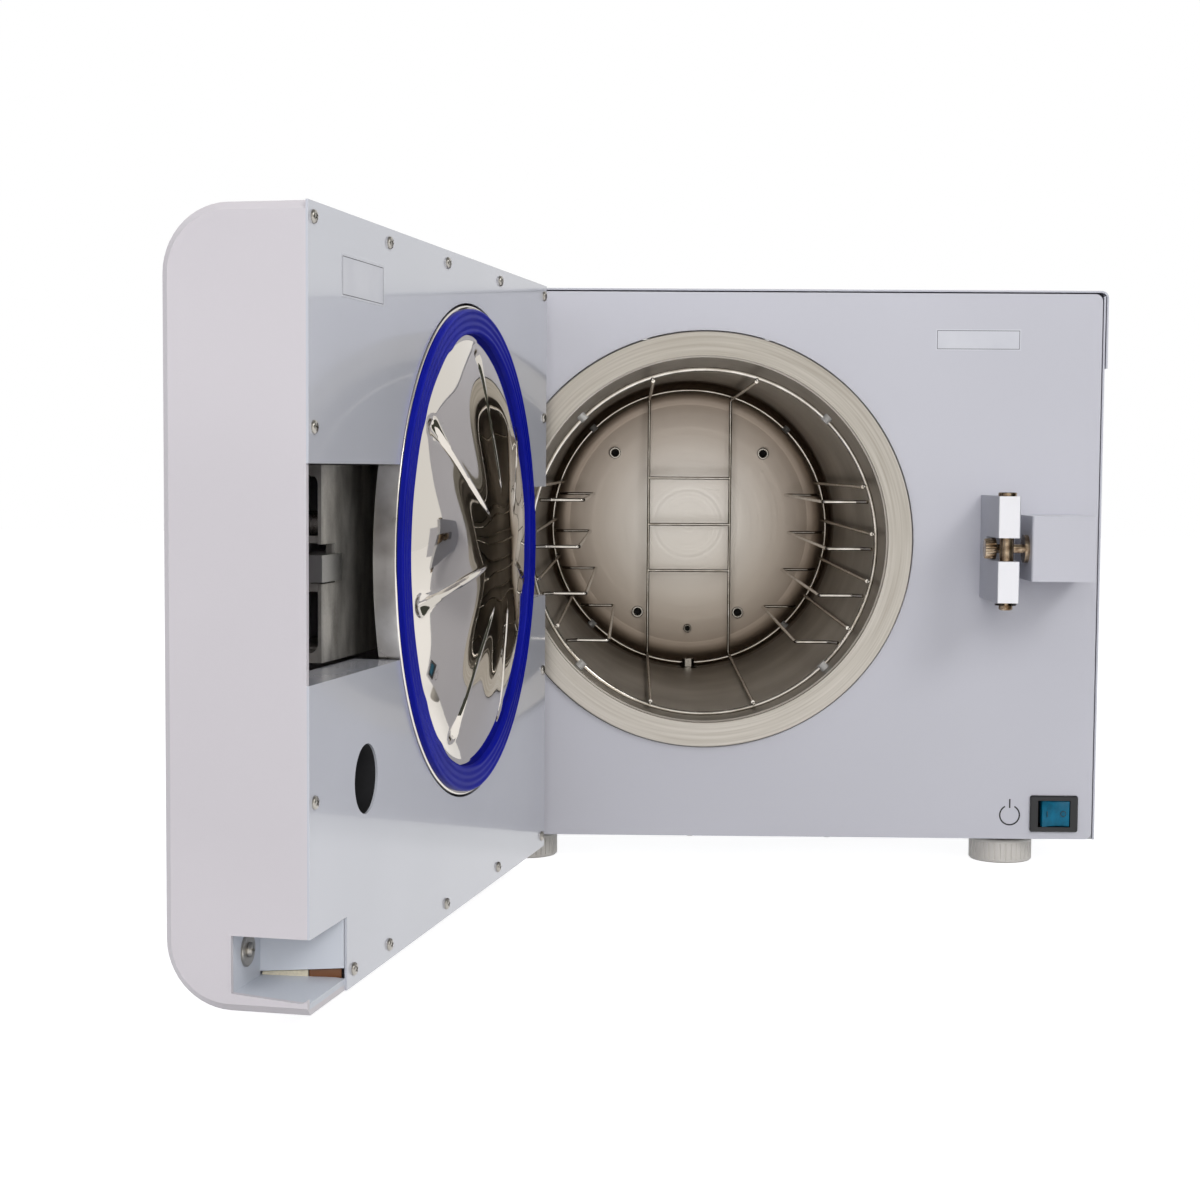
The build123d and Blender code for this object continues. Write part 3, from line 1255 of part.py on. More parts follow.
# Control board behind the door's face, with posts to the shell and the display module
with BuildPart() as control_board:
    board_y = (door_y(board_front), door_y(board_front + board_thickness))
    board_x = (door_x + display_x - board_half, door_x + display_x + board_half)
    board_z = (chamber_z + key_z - 12, chamber_z + display_z + display_height / 2 + 2)
    block(board_x, board_y, board_z)
    for post_x in (board_x[0] + 5, board_x[1] - 5):
        for post_z in (board_z[0] + 5, board_z[1] - 5):
            rod_y(post_x, post_z, (board_y[1], door_y(door_thickness - door_wall)), 3.0)
    block((door_x + display_x - display_width / 2 + 4, door_x + display_x + display_width / 2 - 4),
          (board_y[1], door_y(door_thickness - display_thickness)),
          (chamber_z + display_z - display_height / 2 + 3, chamber_z + display_z + display_height / 2 - 3))
write(control_board, "control_board", turned=True)

with BuildPart() as display_window:
    window_y = (door_y(door_thickness - display_thickness), door_y(door_thickness))
    half_width = display_width / 2 - window_fit
    half_height = display_height / 2 - window_fit
    block((door_x + display_x - half_width, door_x + display_x + half_width), window_y,
          (chamber_z + display_z - half_height, chamber_z + display_z + half_height))
write(display_window, "display_window", turned=True)

# Three press keys under the display
for key, key_name in ((-1, "key_program"), (0, "key_start"), (1, "key_stop")):
    with BuildPart() as press_key:
        key_x = door_x + display_x + key * key_pitch
        key_height = chamber_z + key_z
        behind = door_thickness - door_wall - 0.2
        rod_y(key_x, key_height, (door_y(behind), door_y(door_thickness + key_proud)), key_radius)
        fillet(press_key.edges().filter_by(GeomType.CIRCLE).group_by(Axis.Y)[0], 0.8)
        rod_y(key_x, key_height, (door_y(behind), door_y(behind - key_flange)), key_radius + 1.2)
        stem_end = board_front + board_thickness + key_travel + fit
        rod_y(key_x, key_height, (door_y(behind), door_y(stem_end)), key_stem)
    write(press_key, key_name, turned=True)

# Water tank at the top right, its neck reaching through the top cover
tank_top = panel_top - 8
neck_x = (tank_mid_x - neck_width / 2, tank_mid_x + neck_width / 2)
neck_ys = (neck_y - neck_depth / 2, neck_y + neck_depth / 2)
with BuildPart() as water_tank:
    tank_x = (chamber_x + tank_left, chamber_x + tank_right)
    tank_ys = (tank_rear - tank_depth, tank_rear)
    block(tank_x, tank_ys, (tank_bottom, tank_top))
    fillet(water_tank.edges().filter_by(Axis.Z), tank_corner)
    block(neck_x, neck_ys, (tank_top, cover_top + 0.4))
    block((tank_x[0] + tank_wall, tank_x[1] - tank_wall), (tank_ys[0] + tank_wall, tank_ys[1] - tank_wall),
          (tank_bottom + tank_wall, tank_top - tank_wall), mode=Mode.SUBTRACT)
    block((neck_x[0] + tank_wall, neck_x[1] - tank_wall), (neck_ys[0] + tank_wall, neck_ys[1] - tank_wall),
          (tank_top - 2 * tank_wall, cover_top + 1), mode=Mode.SUBTRACT)
    for leg_y in (tank_ys[0] + tank_leg, tank_ys[1] - 2 * tank_leg):
        block((tank_x[1] - tank_wall, panel_right + side_gap - fit), (leg_y, leg_y + tank_leg),
              (tank_bottom + 20, tank_bottom + 24))
        block((tank_x[1] - 14, tank_x[1] - 10), (leg_y, leg_y + tank_leg), (base_z + sheet, tank_bottom))
write(water_tank, "water_tank")

# Tank lid, hinged at its rear edge on two ears of the top cover
with BuildPart() as tank_lid:
    lid_x = (neck_x[0] - lid_overlap, neck_x[1] + lid_overlap)
    with BuildSketch(Plane.XY.offset(lid_z)):
        with Locations((tank_mid_x, neck_y)):
            RectangleRounded(neck_width + 2 * lid_overlap, neck_depth + 2 * lid_overlap, lid_corner)
    extrude(amount=lid_thickness)
    fillet(tank_lid.faces().sort_by(Axis.Z)[-1].edges(), 1.5)
    knuckle_half = ear_inner - fit
    for ear_x in (tank_mid_x - ear_offset, tank_mid_x + ear_offset):
        rod_x(lid_hinge_y, lid_hinge_z, (ear_x - knuckle_half, ear_x + knuckle_half), lid_hinge_radius + 0.5)
        block((ear_x - knuckle_half, ear_x + knuckle_half), (neck_ys[1] + lid_overlap - 3, lid_hinge_y),
              (lid_hinge_z - lid_pin, lid_hinge_z + lid_pin + 0.5))
        rod_x(lid_hinge_y, lid_hinge_z, (ear_x - ear_inner, ear_x + ear_inner), lid_pin + running,
              mode=Mode.SUBTRACT)
    block((tank_mid_x - lid_tab, tank_mid_x + lid_tab),
          (neck_ys[0] - lid_overlap - 5, neck_ys[0] - lid_overlap + 2), (lid_z + 1.2, lid_z + 4.2))
write(tank_lid, "tank_lid")

# Steam generator, a short boiler with a bolted lid
with BuildPart() as steam_generator:
    boiler_x = chamber_x + generator_x
    boiler_y = panel_y + generator_y
    floor_z = base_z + sheet
    boiler_top = floor_z + generator_leg_height + generator_height
    rod_z(boiler_x, boiler_y, (floor_z + generator_leg_height, boiler_top), generator_radius)
    rod_z(boiler_x, boiler_y, (floor_z + generator_flange[0], floor_z + generator_flange[1]),
          generator_radius + generator_rim)
    with Locations((boiler_x, boiler_y, floor_z + generator_bolt_height)):
        with PolarLocations(generator_radius + generator_bolt_reach, generator_bolts):
            Cylinder(generator_bolt, 2 * generator_leg)
    with Locations((boiler_x, boiler_y, floor_z + generator_leg_height / 2)):
        with PolarLocations(generator_radius - 10, generator_legs):
            Cylinder(generator_leg, generator_leg_height)
write(steam_generator, "steam_generator")

# Vacuum pump, a motor with a diaphragm head
with BuildPart() as vacuum_pump:
    motor_x = chamber_x + pump_x
    motor_z = floor_z + pump_axis_height
    pump_ys = (panel_y + pump_y, panel_y + pump_y + pump_length)
    rod_y(motor_x, motor_z, pump_ys, pump_motor_radius)
    block((motor_x - pump_head / 2, motor_x + pump_head / 2), (pump_ys[0] - pump_head_depth, pump_ys[0]),
          (motor_z + pump_head_z[0], motor_z + pump_head_z[1]))
    for fin in range(pump_fins):
        fin_y = pump_ys[0] + pump_fin_start + fin * pump_fin_pitch
        rod_y(motor_x, motor_z, (fin_y, fin_y + pump_fin), pump_motor_radius + pump_fin_rim)
    block((motor_x - pump_plate_half, motor_x + pump_plate_half),
          (pump_ys[0] + pump_plate_inset, pump_ys[1] - pump_plate_inset), (floor_z, floor_z + pump_plate))
    block((motor_x - pump_foot_half, motor_x + pump_foot_half),
          (pump_ys[0] + pump_foot_inset, pump_ys[1] - pump_foot_inset),
          (floor_z + pump_plate - 1, motor_z - pump_foot_top))
write(vacuum_pump, "vacuum_pump")

# Fan at the rear panel: a square frame with a spindle, and the rotor on it
with BuildPart() as fan_frame:
    fan_ys = (rear_y - sheet - fan_depth, rear_y - sheet)
    block((fan_centre_x - fan_size / 2, fan_centre_x + fan_size / 2), fan_ys,
          (fan_z - fan_size / 2, fan_z + fan_size / 2))
    rod_y(fan_centre_x, fan_z, (fan_ys[0] - 1, fan_ys[1] + 1), fan_bore, mode=Mode.SUBTRACT)
    for arm in (0, 90):
        with Locations(Location((fan_centre_x, fan_ys[0] + fan_arm / 2, fan_z), (0, arm + 45, 0))):
            Box(2 * fan_bore + 4, fan_arm, fan_arm_width)
    rod_y(fan_centre_x, fan_z, (fan_ys[0], fan_ys[0] + fan_arm + 1), fan_hub)
    rod_y(fan_centre_x, fan_z, (fan_ys[0], fan_ys[1] - fan_arm - 1), fan_spindle)
write(fan_frame, "fan_frame")

with BuildPart() as fan_rotor:
    rotor_ys = (fan_ys[0] + fan_arm + 2, fan_ys[1] - 2)
    blade_length = fan_bore - fan_hub - blade_tip_gap
    rod_y(fan_centre_x, fan_z, rotor_ys, fan_hub)
    rod_y(fan_centre_x, fan_z, (rotor_ys[0] - 1, rotor_ys[1] - 1), fan_spindle + running, mode=Mode.SUBTRACT)
    for blade in range(fan_blades):
        with Locations(Location((fan_centre_x, (rotor_ys[0] + rotor_ys[1]) / 2, fan_z),
                                (0, blade * 360 / fan_blades, 0))):
            with Locations(Location((fan_hub + blade_length / 2, 0, 0), (blade_angle, 0, 0))):
                Box(blade_length, blade_thickness, blade_chord)
write(fan_rotor, "fan_rotor")

# Condenser in front of the fan: a finned block on two legs
with BuildPart() as condenser:
    core_rear = fan_ys[0] - condenser_gap
    core_ys = (core_rear - condenser_depth, core_rear)
    core_z = (fan_z - condenser_height / 2, fan_z + condenser_height / 2)
    core_x = (fan_centre_x - condenser_width / 2, fan_centre_x + condenser_width / 2)
    fin_count = int(condenser_width / fin_pitch)
    for fin in range(fin_count):
        fin_x = core_x[0] + fin * fin_pitch
        block((fin_x, fin_x + fin_thickness), core_ys, core_z)
    for row in range(condenser_rows):
        rod_x((core_ys[0] + core_ys[1]) / 2, core_z[0] + condenser_row_start + row * condenser_row_pitch,
              core_x, condenser_tube)
    for leg_x in (core_x[0], core_x[0] + (fin_count - 1) * fin_pitch):
        block((leg_x, leg_x + 2 * fin_thickness), core_ys, (base_z + sheet, core_z[0] + 6))
write(condenser, "condenser")

# Valve manifold with three coils
with BuildPart() as valve_block:
    manifold_x = chamber_x + valve_x
    manifold_y = rear_y - valve_from_rear
    manifold_z = (floor_z + valve_floor, floor_z + valve_floor + valve_body)
    manifold_ys = (manifold_y - valve_depth, manifold_y + valve_depth)
    block((manifold_x - valve_half, manifold_x + valve_half), manifold_ys, manifold_z)
    for leg_x in (manifold_x - valve_half, manifold_x + valve_half - valve_leg):
        block((leg_x, leg_x + valve_leg), manifold_ys, (floor_z, manifold_z[0] + 2))
    for coil in (-1, 0, 1):
        coil_x = manifold_x + coil * coil_pitch
        coil_top = manifold_z[1] + coil_height
        block((coil_x - coil_half, coil_x + coil_half), (manifold_y - coil_half, manifold_y + coil_half),
              (manifold_z[1], coil_top))
        rod_z(coil_x, manifold_y, (coil_top, coil_top + 6), coil_half / 2)
write(valve_block, "valve_block")

# Safety valve and air filter on the rear panel
with BuildPart() as safety_valve:
    rod_y(*valve_spot, (rear_y - sheet - 14, rear_y - sheet), valve_neck * 1.5)
    for near_end, far_end, step_radius in relief_steps:
        rod_y(*valve_spot, (rear_y + near_end, rear_y + far_end), step_radius)
    rod_y(*valve_spot, (rear_y - sheet - 1, rear_y + 1), valve_neck)
write(safety_valve, "safety_valve")

with BuildPart() as air_filter:
    filter_spot = (chamber_x + filter_place[0], chamber_z + filter_place[1])
    filter_face = rear_y + filter_neck_length
    rod_y(*filter_spot, (rear_y, filter_face), filter_neck)
    rod_y(*filter_spot, (filter_face, filter_face + filter_depth), filter_radius)
    fillet(air_filter.edges().filter_by(GeomType.CIRCLE).group_by(Axis.Y)[-1], 3)
write(air_filter, "air_filter")

# Power board on posts from the left side panel
with BuildPart() as power_board:
    post_x = panel_left - side_gap
    board_face = (post_x + board_standoff, post_x + board_standoff + board_thickness)
    board_ys = (panel_y + board_from_front, panel_y + board_from_front + board_width)
    board_zs = (base_z + board_from_base, base_z + board_from_base + board_height)
    block(board_face, board_ys, board_zs)
    for spot_y in (board_ys[0] + board_post_inset, board_ys[1] - board_post_inset):
        for spot_z in (board_zs[0] + board_post_inset, board_zs[1] - board_post_inset):
            rod_x(spot_y, spot_z, (post_x, board_face[0]), board_post)
    core_inset, core_length, core_tall, core_high = transformer
    block((board_face[1], board_face[1] + core_high),
          (board_ys[0] + core_inset, board_ys[0] + core_inset + core_length),
          (board_zs[0] + core_inset, board_zs[0] + core_inset + core_tall))
    for part_index in range(board_parts):
        part_y = board_ys[0] + board_part_start + part_index * board_part_pitch
        rod_x(part_y, board_zs[0] + 30, (board_face[1], board_face[1] + capacitor_height), capacitor_radius)
        block((board_face[1], board_face[1] + heatsink_depth),
              (part_y - heatsink_half, part_y + heatsink_half),
              (board_zs[0] + heatsink_z[0], board_zs[0] + heatsink_z[1]))
write(power_board, "power_board")

# Mains inlet in the rear panel
with BuildPart() as power_inlet:
    block((inlet_centre - inlet_width / 2, inlet_centre + inlet_width / 2), (rear_y, rear_y + inlet_plate),
          (inlet_z - inlet_height / 2, inlet_z + inlet_height / 2))
    block((inlet_x_hole[0] + fit, inlet_x_hole[1] - fit), (rear_y - inlet_depth, rear_y + 1),
          (inlet_z_hole[0] + fit, inlet_z_hole[1] - fit))
    socket_half, socket_half_z, socket_depth = inlet_socket
    block((inlet_centre - socket_half, inlet_centre + socket_half), (rear_y - socket_depth, rear_y + 3),
          (inlet_z - socket_half_z, inlet_z + socket_half_z), mode=Mode.SUBTRACT)
    for blade_x in inlet_blades:
        blade_z = inlet_z - inlet_blade_height / 2 + (inlet_earth_rise if blade_x == 0 else 0)
        block((inlet_centre + blade_x - inlet_blade, inlet_centre + blade_x + inlet_blade),
              (rear_y - socket_depth - 1, rear_y - 4), (blade_z, blade_z + inlet_blade_height))
write(power_inlet, "power_inlet")

# Pipes between the chamber, the boiler and the manifold
with BuildPart() as pipework:
    pipe_y = panel_y + drain_y
    drain_run = drain_low - drain_pipe_drop
    drain_side = chamber_x - drain_pipe_side
    bent_rod([(chamber_x, pipe_y, drain_low), (chamber_x, pipe_y, drain_run), (drain_side, pipe_y, drain_run),
              (drain_side, manifold_y, drain_run), (manifold_x + valve_half, manifold_y, drain_run)],
             pipe_bend, pipe_radius)
    steam_x = boiler_x - steam_side
    steam_y = back_y + steam_behind
    steam_z = boiler_top + steam_rise
    stub_z = chamber_z - stub_drop
    bent_rod([(boiler_x, boiler_y, boiler_top), (boiler_x, boiler_y, steam_z), (steam_x, boiler_y, steam_z),
              (steam_x, steam_y, steam_z), (chamber_x, steam_y, steam_z), (chamber_x, steam_y, stub_z),
              (chamber_x, back_y + stub_tail, stub_z)], steam_bend, steam_pipe)
write(pipework, "pipework")
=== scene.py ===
import json
from math import atan2, cos, exp, hypot, pi, radians, sin, sqrt

import bmesh
import bpy
from bpy.props import FloatProperty, FloatVectorProperty, IntProperty, PointerProperty
from mathutils import Matrix, Vector


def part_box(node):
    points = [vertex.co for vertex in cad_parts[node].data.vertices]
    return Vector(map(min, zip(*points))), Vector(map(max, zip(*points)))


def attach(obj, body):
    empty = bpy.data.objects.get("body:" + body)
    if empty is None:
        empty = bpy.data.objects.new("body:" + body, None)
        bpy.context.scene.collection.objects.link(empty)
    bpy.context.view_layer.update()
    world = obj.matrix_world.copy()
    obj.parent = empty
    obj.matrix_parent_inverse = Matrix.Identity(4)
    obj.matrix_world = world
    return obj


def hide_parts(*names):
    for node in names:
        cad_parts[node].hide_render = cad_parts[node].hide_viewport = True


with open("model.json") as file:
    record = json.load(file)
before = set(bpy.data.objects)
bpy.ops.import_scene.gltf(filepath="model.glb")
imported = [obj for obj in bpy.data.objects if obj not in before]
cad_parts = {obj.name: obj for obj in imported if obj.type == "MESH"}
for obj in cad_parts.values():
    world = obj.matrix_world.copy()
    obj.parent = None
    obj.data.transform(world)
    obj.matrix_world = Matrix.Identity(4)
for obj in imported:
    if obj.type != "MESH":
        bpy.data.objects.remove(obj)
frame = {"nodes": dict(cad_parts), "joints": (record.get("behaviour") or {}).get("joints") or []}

bl_info = {
    "name": "Bench Autoclave",
    "version": (1, 0, 0),
    "blender": (4, 5, 0),
    "location": "View3D > Sidebar > Autoclave",
    "description": "Dresses a bench autoclave: its fine pieces, its finishes and a plain studio",
    "category": "Object",
}

MM = 0.001
ALONG_X, ALONG_Y, ALONG_Z = Vector((1, 0, 0)), Vector((0, 1, 0)), Vector((0, 0, 1))

# Points nearer to each other than this are merged into one
SAME_POINT = 0.01 * MM

# Each screw's cross is turned by this angle from the one before it, in radians
CROSS_TURN = 2.4

# Places taken from the frame, in metres
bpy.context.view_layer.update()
JOINTS = {joint["name"]: joint for joint in frame["joints"]}
HINGE = Vector(JOINTS["door_swing"]["pos_m"])
DOOR_OPEN = radians(JOINTS["door_swing"]["range_deg"][1])
PANEL_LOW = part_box("front_panel")[0]
FLANGE_LOW, FLANGE_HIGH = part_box("chamber_flange")
AXIS = Vector(((FLANGE_LOW.x + FLANGE_HIGH.x) / 2, PANEL_LOW.y, (FLANGE_LOW.z + FLANGE_HIGH.z) / 2))

# The shut door is measured from its hinge edge (across) and its inner cover (depth)
HINGE_INSET = 24.7 * MM
HINGE_DEPTH = 44.3 * MM
COVER_Y = HINGE.y + HINGE_DEPTH

# The disc and its gasket share the disc's middle, and its rim lies this far in front of the inner cover
DISC_CENTRE = Vector((AXIS.x, COVER_Y, AXIS.z))
DISC_SEAT = 0.6 * MM

# The disc: the radius and the height of its dome, and its rim
DOME_REACH, DOME_RISE = 122 * MM, 19.4 * MM
RIM, RIM_DEPTH, RIM_WALL, RIM_EDGE = 140.6 * MM, 12 * MM, 2.5 * MM, 0.9 * MM

# The gasket: its two radii, and the radius of its rounded corners
SEAL_INNER, SEAL_OUTER, SEAL_CORNER = 124.3 * MM, 138.6 * MM, 1.2 * MM


def shut_door(across, depth, height):
    """A point of the shut door: across from its hinge edge, behind its inner cover, above the chamber."""
    return Vector((HINGE.x - HINGE_INSET + across, COVER_Y - depth, AXIS.z + height))


def clear_selection():
    """Leave edit mode and deselect everything, so that the next operator touches only its own piece."""
    if bpy.context.object and bpy.context.object.mode != "OBJECT":
        bpy.ops.object.mode_set(mode="OBJECT")
    bpy.ops.object.select_all(action="DESELECT")


def select_only(piece):
    """Make one object the selected and active one."""
    clear_selection()
    piece.select_set(True)
    bpy.context.view_layer.objects.active = piece


def begin(name):
    """Name the primitive that was just added and open it in edit mode."""
    piece = bpy.context.object
    piece.name = name
    piece.data.name = name
    bpy.ops.object.mode_set(mode="EDIT")
    return piece


def finish_mesh(piece):
    """Leave edit mode and put the object's place into its mesh."""
    select_only(piece)
    bpy.ops.object.transform_apply(location=True, rotation=True, scale=True)
    return piece


def apply_modifier(piece, kind, **settings):
    """Add a modifier, set it and apply it."""
    select_only(piece)
    modifier = piece.modifiers.new(kind.title(), kind)
    for name, value in settings.items():
        setattr(modifier, name, value)
    bpy.ops.object.modifier_apply(modifier=modifier.name)


def tidy_normals(piece):
    """Merge doubled points and turn every face outwards."""
    select_only(piece)
    bpy.ops.object.mode_set(mode="EDIT")
    bpy.ops.mesh.select_all(action="SELECT")
    bpy.ops.mesh.remove_doubles(threshold=SAME_POINT)
    bpy.ops.mesh.normals_make_consistent(inside=False)
    bpy.ops.object.mode_set(mode="OBJECT")


def smooth(piece, degrees_apart=35):
    """Shade smooth, with hard edges kept."""
    select_only(piece)
    bpy.ops.object.shade_smooth_by_angle(angle=radians(degrees_apart))


def join(pieces, name):
    """Join copies into one piece."""
    clear_selection()
    for piece in pieces:
        piece.select_set(True)
    bpy.context.view_layer.objects.active = pieces[0]
    bpy.ops.object.join()
    pieces[0].name = name
    pieces[0].data.name = name
    return pieces[0]


def turn_about(centre, angle):
    """A turn about an upright line through a point."""
    return Matrix.Translation(centre) @ Matrix.Rotation(angle, 4, "Z") @ Matrix.Translation(-centre)


def swing_open(piece):
    """Turn a piece drawn on the shut door to where the open door holds it."""
    piece.data.transform(turn_about(HINGE, -DOOR_OPEN))
    return piece


def extrude_chain(points):
    """Extrude a chain of edges through points, from the single point that is selected."""
    for here, there in zip(points, points[1:]):
        bpy.ops.mesh.extrude_region_move(TRANSFORM_OT_translate={"value": there - here})


def start_chain(name, first):
    """Add a plane and shrink it to one point, where a profile begins."""
    clear_selection()
    bpy.ops.mesh.primitive_plane_add(size=MM, location=first)
    piece = begin(name)
    bpy.ops.mesh.select_all(action="SELECT")
    bpy.ops.mesh.merge(type="CENTER")
    return piece


def turned_piece(name, profile, centre, axis, steps):
    """Spin a profile of (radius, distance along the axis) points about an axis through centre."""
    side = ALONG_X if axis == ALONG_Z else ALONG_Z
    points = [centre + side * radius + axis * along for radius, along in profile]
    piece = start_chain(name, points[0])
    extrude_chain(points)
    bpy.ops.mesh.select_all(action="SELECT")
    bpy.ops.mesh.spin(steps=steps, angle=2 * pi, center=centre, axis=axis)
    finish_mesh(piece)
    tidy_normals(piece)
    return piece


def arc(centre, radius, start, end, steps):
    """Points of an arc in a profile, with angles in degrees."""
    turns = [radians(start + (end - start) * step / steps) for step in range(steps + 1)]
    return [(centre[0] + radius * cos(turn), centre[1] + radius * sin(turn)) for turn in turns]


def rounded_block(name, low, high, bevel, segments=3):
    """A box between two corners with rounded edges."""
    clear_selection()
    bpy.ops.mesh.primitive_cube_add(size=1, location=(low + high) / 2, scale=high - low)
    piece = finish_mesh(bpy.context.object)
    piece.name = name
    apply_modifier(piece, "BEVEL", width=bevel, segments=segments, limit_method="ANGLE")
    smooth(piece)
    return piece


def loose_boxes(node, shut=False):
    """The lowest and highest corner of each loose part of a CAD node, on the shut door if asked."""
    mesh = bmesh.new()
    mesh.from_mesh(frame["nodes"][node].data)
    if shut:
        mesh.transform(turn_about(HINGE, DOOR_OPEN))
    bmesh.ops.remove_doubles(mesh, verts=mesh.verts, dist=SAME_POINT / 2)
    waiting = set(mesh.verts)
    boxes = []
    while waiting:
        group = [waiting.pop()]
        for vert in group:
            for edge in vert.link_edges:
                other = edge.other_vert(vert)
                if other in waiting:
                    waiting.remove(other)
                    group.append(other)
        places = [vert.co.copy() for vert in group]
        low = Vector([min(place[i] for place in places) for i in range(3)])
        high = Vector([max(place[i] for place in places) for i in range(3)])
        boxes.append((low, high))
    mesh.free()
    return sorted(boxes, key=lambda box: tuple(round(value, 5) for value in box[0]))


def second_finish(piece, material, chosen):
    """Give a second material to the faces that a test of their middle picks."""
    piece.data.materials.append(material)
    for face in piece.data.polygons:
        if chosen(face.center):
            face.material_index = 1


def place(piece, material, body, stands_for=(), slot=None):
    """Finish a piece: its material, the body that it rides on and the CAD nodes that it stands for."""
    piece.data.materials.clear()
    piece.data.materials.append(material)
    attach(piece, body)
    if stands_for:
        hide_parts(*stands_for)


def linear(code):
    """Turn an sRGB hex colour into the linear colour that a shader takes."""
    values = [int(code[i:i + 2], 16) / 255 for i in (1, 3, 5)]
    return [v / 12.92 if v <= 0.04045 else ((v + 0.055) / 1.055) ** 2.4 for v in values] + [1.0]


def add(material, kind, values=None, links=None, stops=(), **settings):
    """Add one node to a material or a world, with its settings, its socket values, the sockets that feed it
    and, on a colour ramp, its stops: the two ends first, each as (position, colour)."""
    node = material.node_tree.nodes.new(kind)
    for name, value in settings.items():
        setattr(node, name, value)
    for socket, value in (values or {}).items():
        node.inputs[socket].default_value = value
    for socket, source in (links or {}).items():
        material.node_tree.links.new(source, node.inputs[socket])
    for index, (position, colour) in enumerate(stops):
        marks = node.color_ramp.elements
        stop = marks[index] if index < 2 else marks.new(position)
        stop.position = position
        stop.color = shade(colour)
    return node


def shade(colour, factor=1.0):
    """A hex code or a linear colour as a linear colour, made lighter or darker by a factor."""
    red, green, blue = linear(colour)[:3] if isinstance(colour, str) else tuple(colour)[:3]
    return [red * factor, green * factor, blue * factor, 1.0]


def empty_material(name):
    """A material without any node."""
    material = bpy.data.materials.new(name)
    material.use_nodes = True
    material.node_tree.nodes.clear()
    return material


def blank(name, colour, roughness, metallic=0.0, **more):
    """A material with one Principled shader, and the Object coordinates that its patterns read."""
    material = empty_material(name)
    shader = add(material, "ShaderNodeBsdfPrincipled",
                 {"Base Color": shade(colour), "Roughness": roughness, "Metallic": metallic})
    for socket, value in more.items():
        shader.inputs[socket.replace("_", " ")].default_value = value
    add(material, "ShaderNodeOutputMaterial", links={"Surface": shader.outputs["BSDF"]})
    coords = add(material, "ShaderNodeTexCoord")
    return material, shader, coords.outputs["Object"]


def feed(material, source, shader, socket):
    """Link one socket to another."""
    material.node_tree.links.new(source, shader.inputs[socket])


def emboss(material, shader, pattern, height):
    """Let a pattern raise the surface by up to this height."""
    bump = add(material, "ShaderNodeBump", {"Strength": 1.0, "Distance": height},
               {"Height": pattern.outputs["Fac"]})
    feed(material, bump.outputs["Normal"], shader, "Normal")


def grain(material, shader, coords, size, height, detail=3.0):
    """A fine bump over the whole surface: size is the grain's width, height its depth, both in metres."""
    noise = add(material, "ShaderNodeTexNoise", {"Scale": 1 / size, "Detail": detail}, {"Vector": coords})
    emboss(material, shader, noise, height)
    return noise


def tint(material, shader, coords, size, dark, light, detail=4.0, stretch=(1, 1, 1)):
    """A slow change of colour between two shades, over patches of this size."""
    moved = add(material, "ShaderNodeMapping", {"Scale": stretch}, {"Vector": coords})
    noise = add(material, "ShaderNodeTexNoise", {"Scale": 1 / size, "Detail": detail},
                {"Vector": moved.outputs["Vector"]})
    ramp = add(material, "ShaderNodeValToRGB", links={"Fac": noise.outputs["Fac"]},
               stops=((0.35, dark), (0.65, light)))
    feed(material, ramp.outputs["Color"], shader, "Base Color")
    return noise


def rough_patches(material, shader, pattern, low, high):
    """Let a pattern drive the roughness between two values."""
    spread = add(material, "ShaderNodeMapRange",
                 {"From Min": 0.3, "From Max": 0.7, "To Min": low, "To Max": high},
                 {"Value": pattern.outputs["Fac"]})
    feed(material, spread.outputs["Result"], shader, "Roughness")


def around_axis(material, coords, centre):
    """A point's radius and angle about a line along Y through centre, and its place along that line."""
    moved = add(material, "ShaderNodeVectorMath", {1: centre}, {0: coords}, operation="SUBTRACT")
    flat = add(material, "ShaderNodeSeparateXYZ", links={"Vector": moved.outputs["Vector"]})
    squash = add(material, "ShaderNodeCombineXYZ", links={"X": flat.outputs["X"], "Z": flat.outputs["Z"]})
    radius = add(material, "ShaderNodeVectorMath", links={0: squash.outputs["Vector"]}, operation="LENGTH")
    angle = add(material, "ShaderNodeMath", links={0: flat.outputs["Z"], 1: flat.outputs["X"]},
                operation="ARCTAN2")
    return radius.outputs["Value"], angle.outputs["Value"], flat.outputs["Y"]


def turned_marks(material, shader, coords, centre, pitch, height):
    """Fine rings left by a lathe tool about a line along Y: pitch is the feed of the tool."""
    radius, _, along = around_axis(material, coords, centre)
    line = add(material, "ShaderNodeCombineXYZ", links={"X": radius, "Y": along})
    noise = add(material, "ShaderNodeTexNoise", {"Scale": 1 / pitch, "Detail": 2.0},
                {"Vector": line.outputs["Vector"]})
    emboss(material, shader, noise, height)
    return noise


def streaks(material, shader, coords, width, run, height, axis):
    """Brushed lines along one axis: each is width wide and run long."""
    scale = [1 / width, 1 / width, 1 / width]
    scale[axis] = 1 / run
    moved = add(material, "ShaderNodeMapping", {"Scale": scale}, {"Vector": coords})
    noise = add(material, "ShaderNodeTexNoise", {"Scale": 1.0, "Detail": 3.0},
                {"Vector": moved.outputs["Vector"]})
    emboss(material, shader, noise, height)
    return noise


def powder_coat(name, colour):
    """Powder coat on sheet steel: baked polyester with a faint orange peel and a soft, even gloss."""
    material, shader, coords = blank(name, colour, 0.42, Specular_IOR_Level=0.45, Coat_Weight=0.12,
                                     Coat_Roughness=0.25)
    tint(material, shader, coords, 220 * MM, shade(colour, 0.93), colour, detail=1.0)
    # Orange peel is about 1.5 mm across and a few hundredths of a millimetre deep
    grain(material, shader, coords, 1.5 * MM, 0.012 * MM, detail=2.0)
    return material


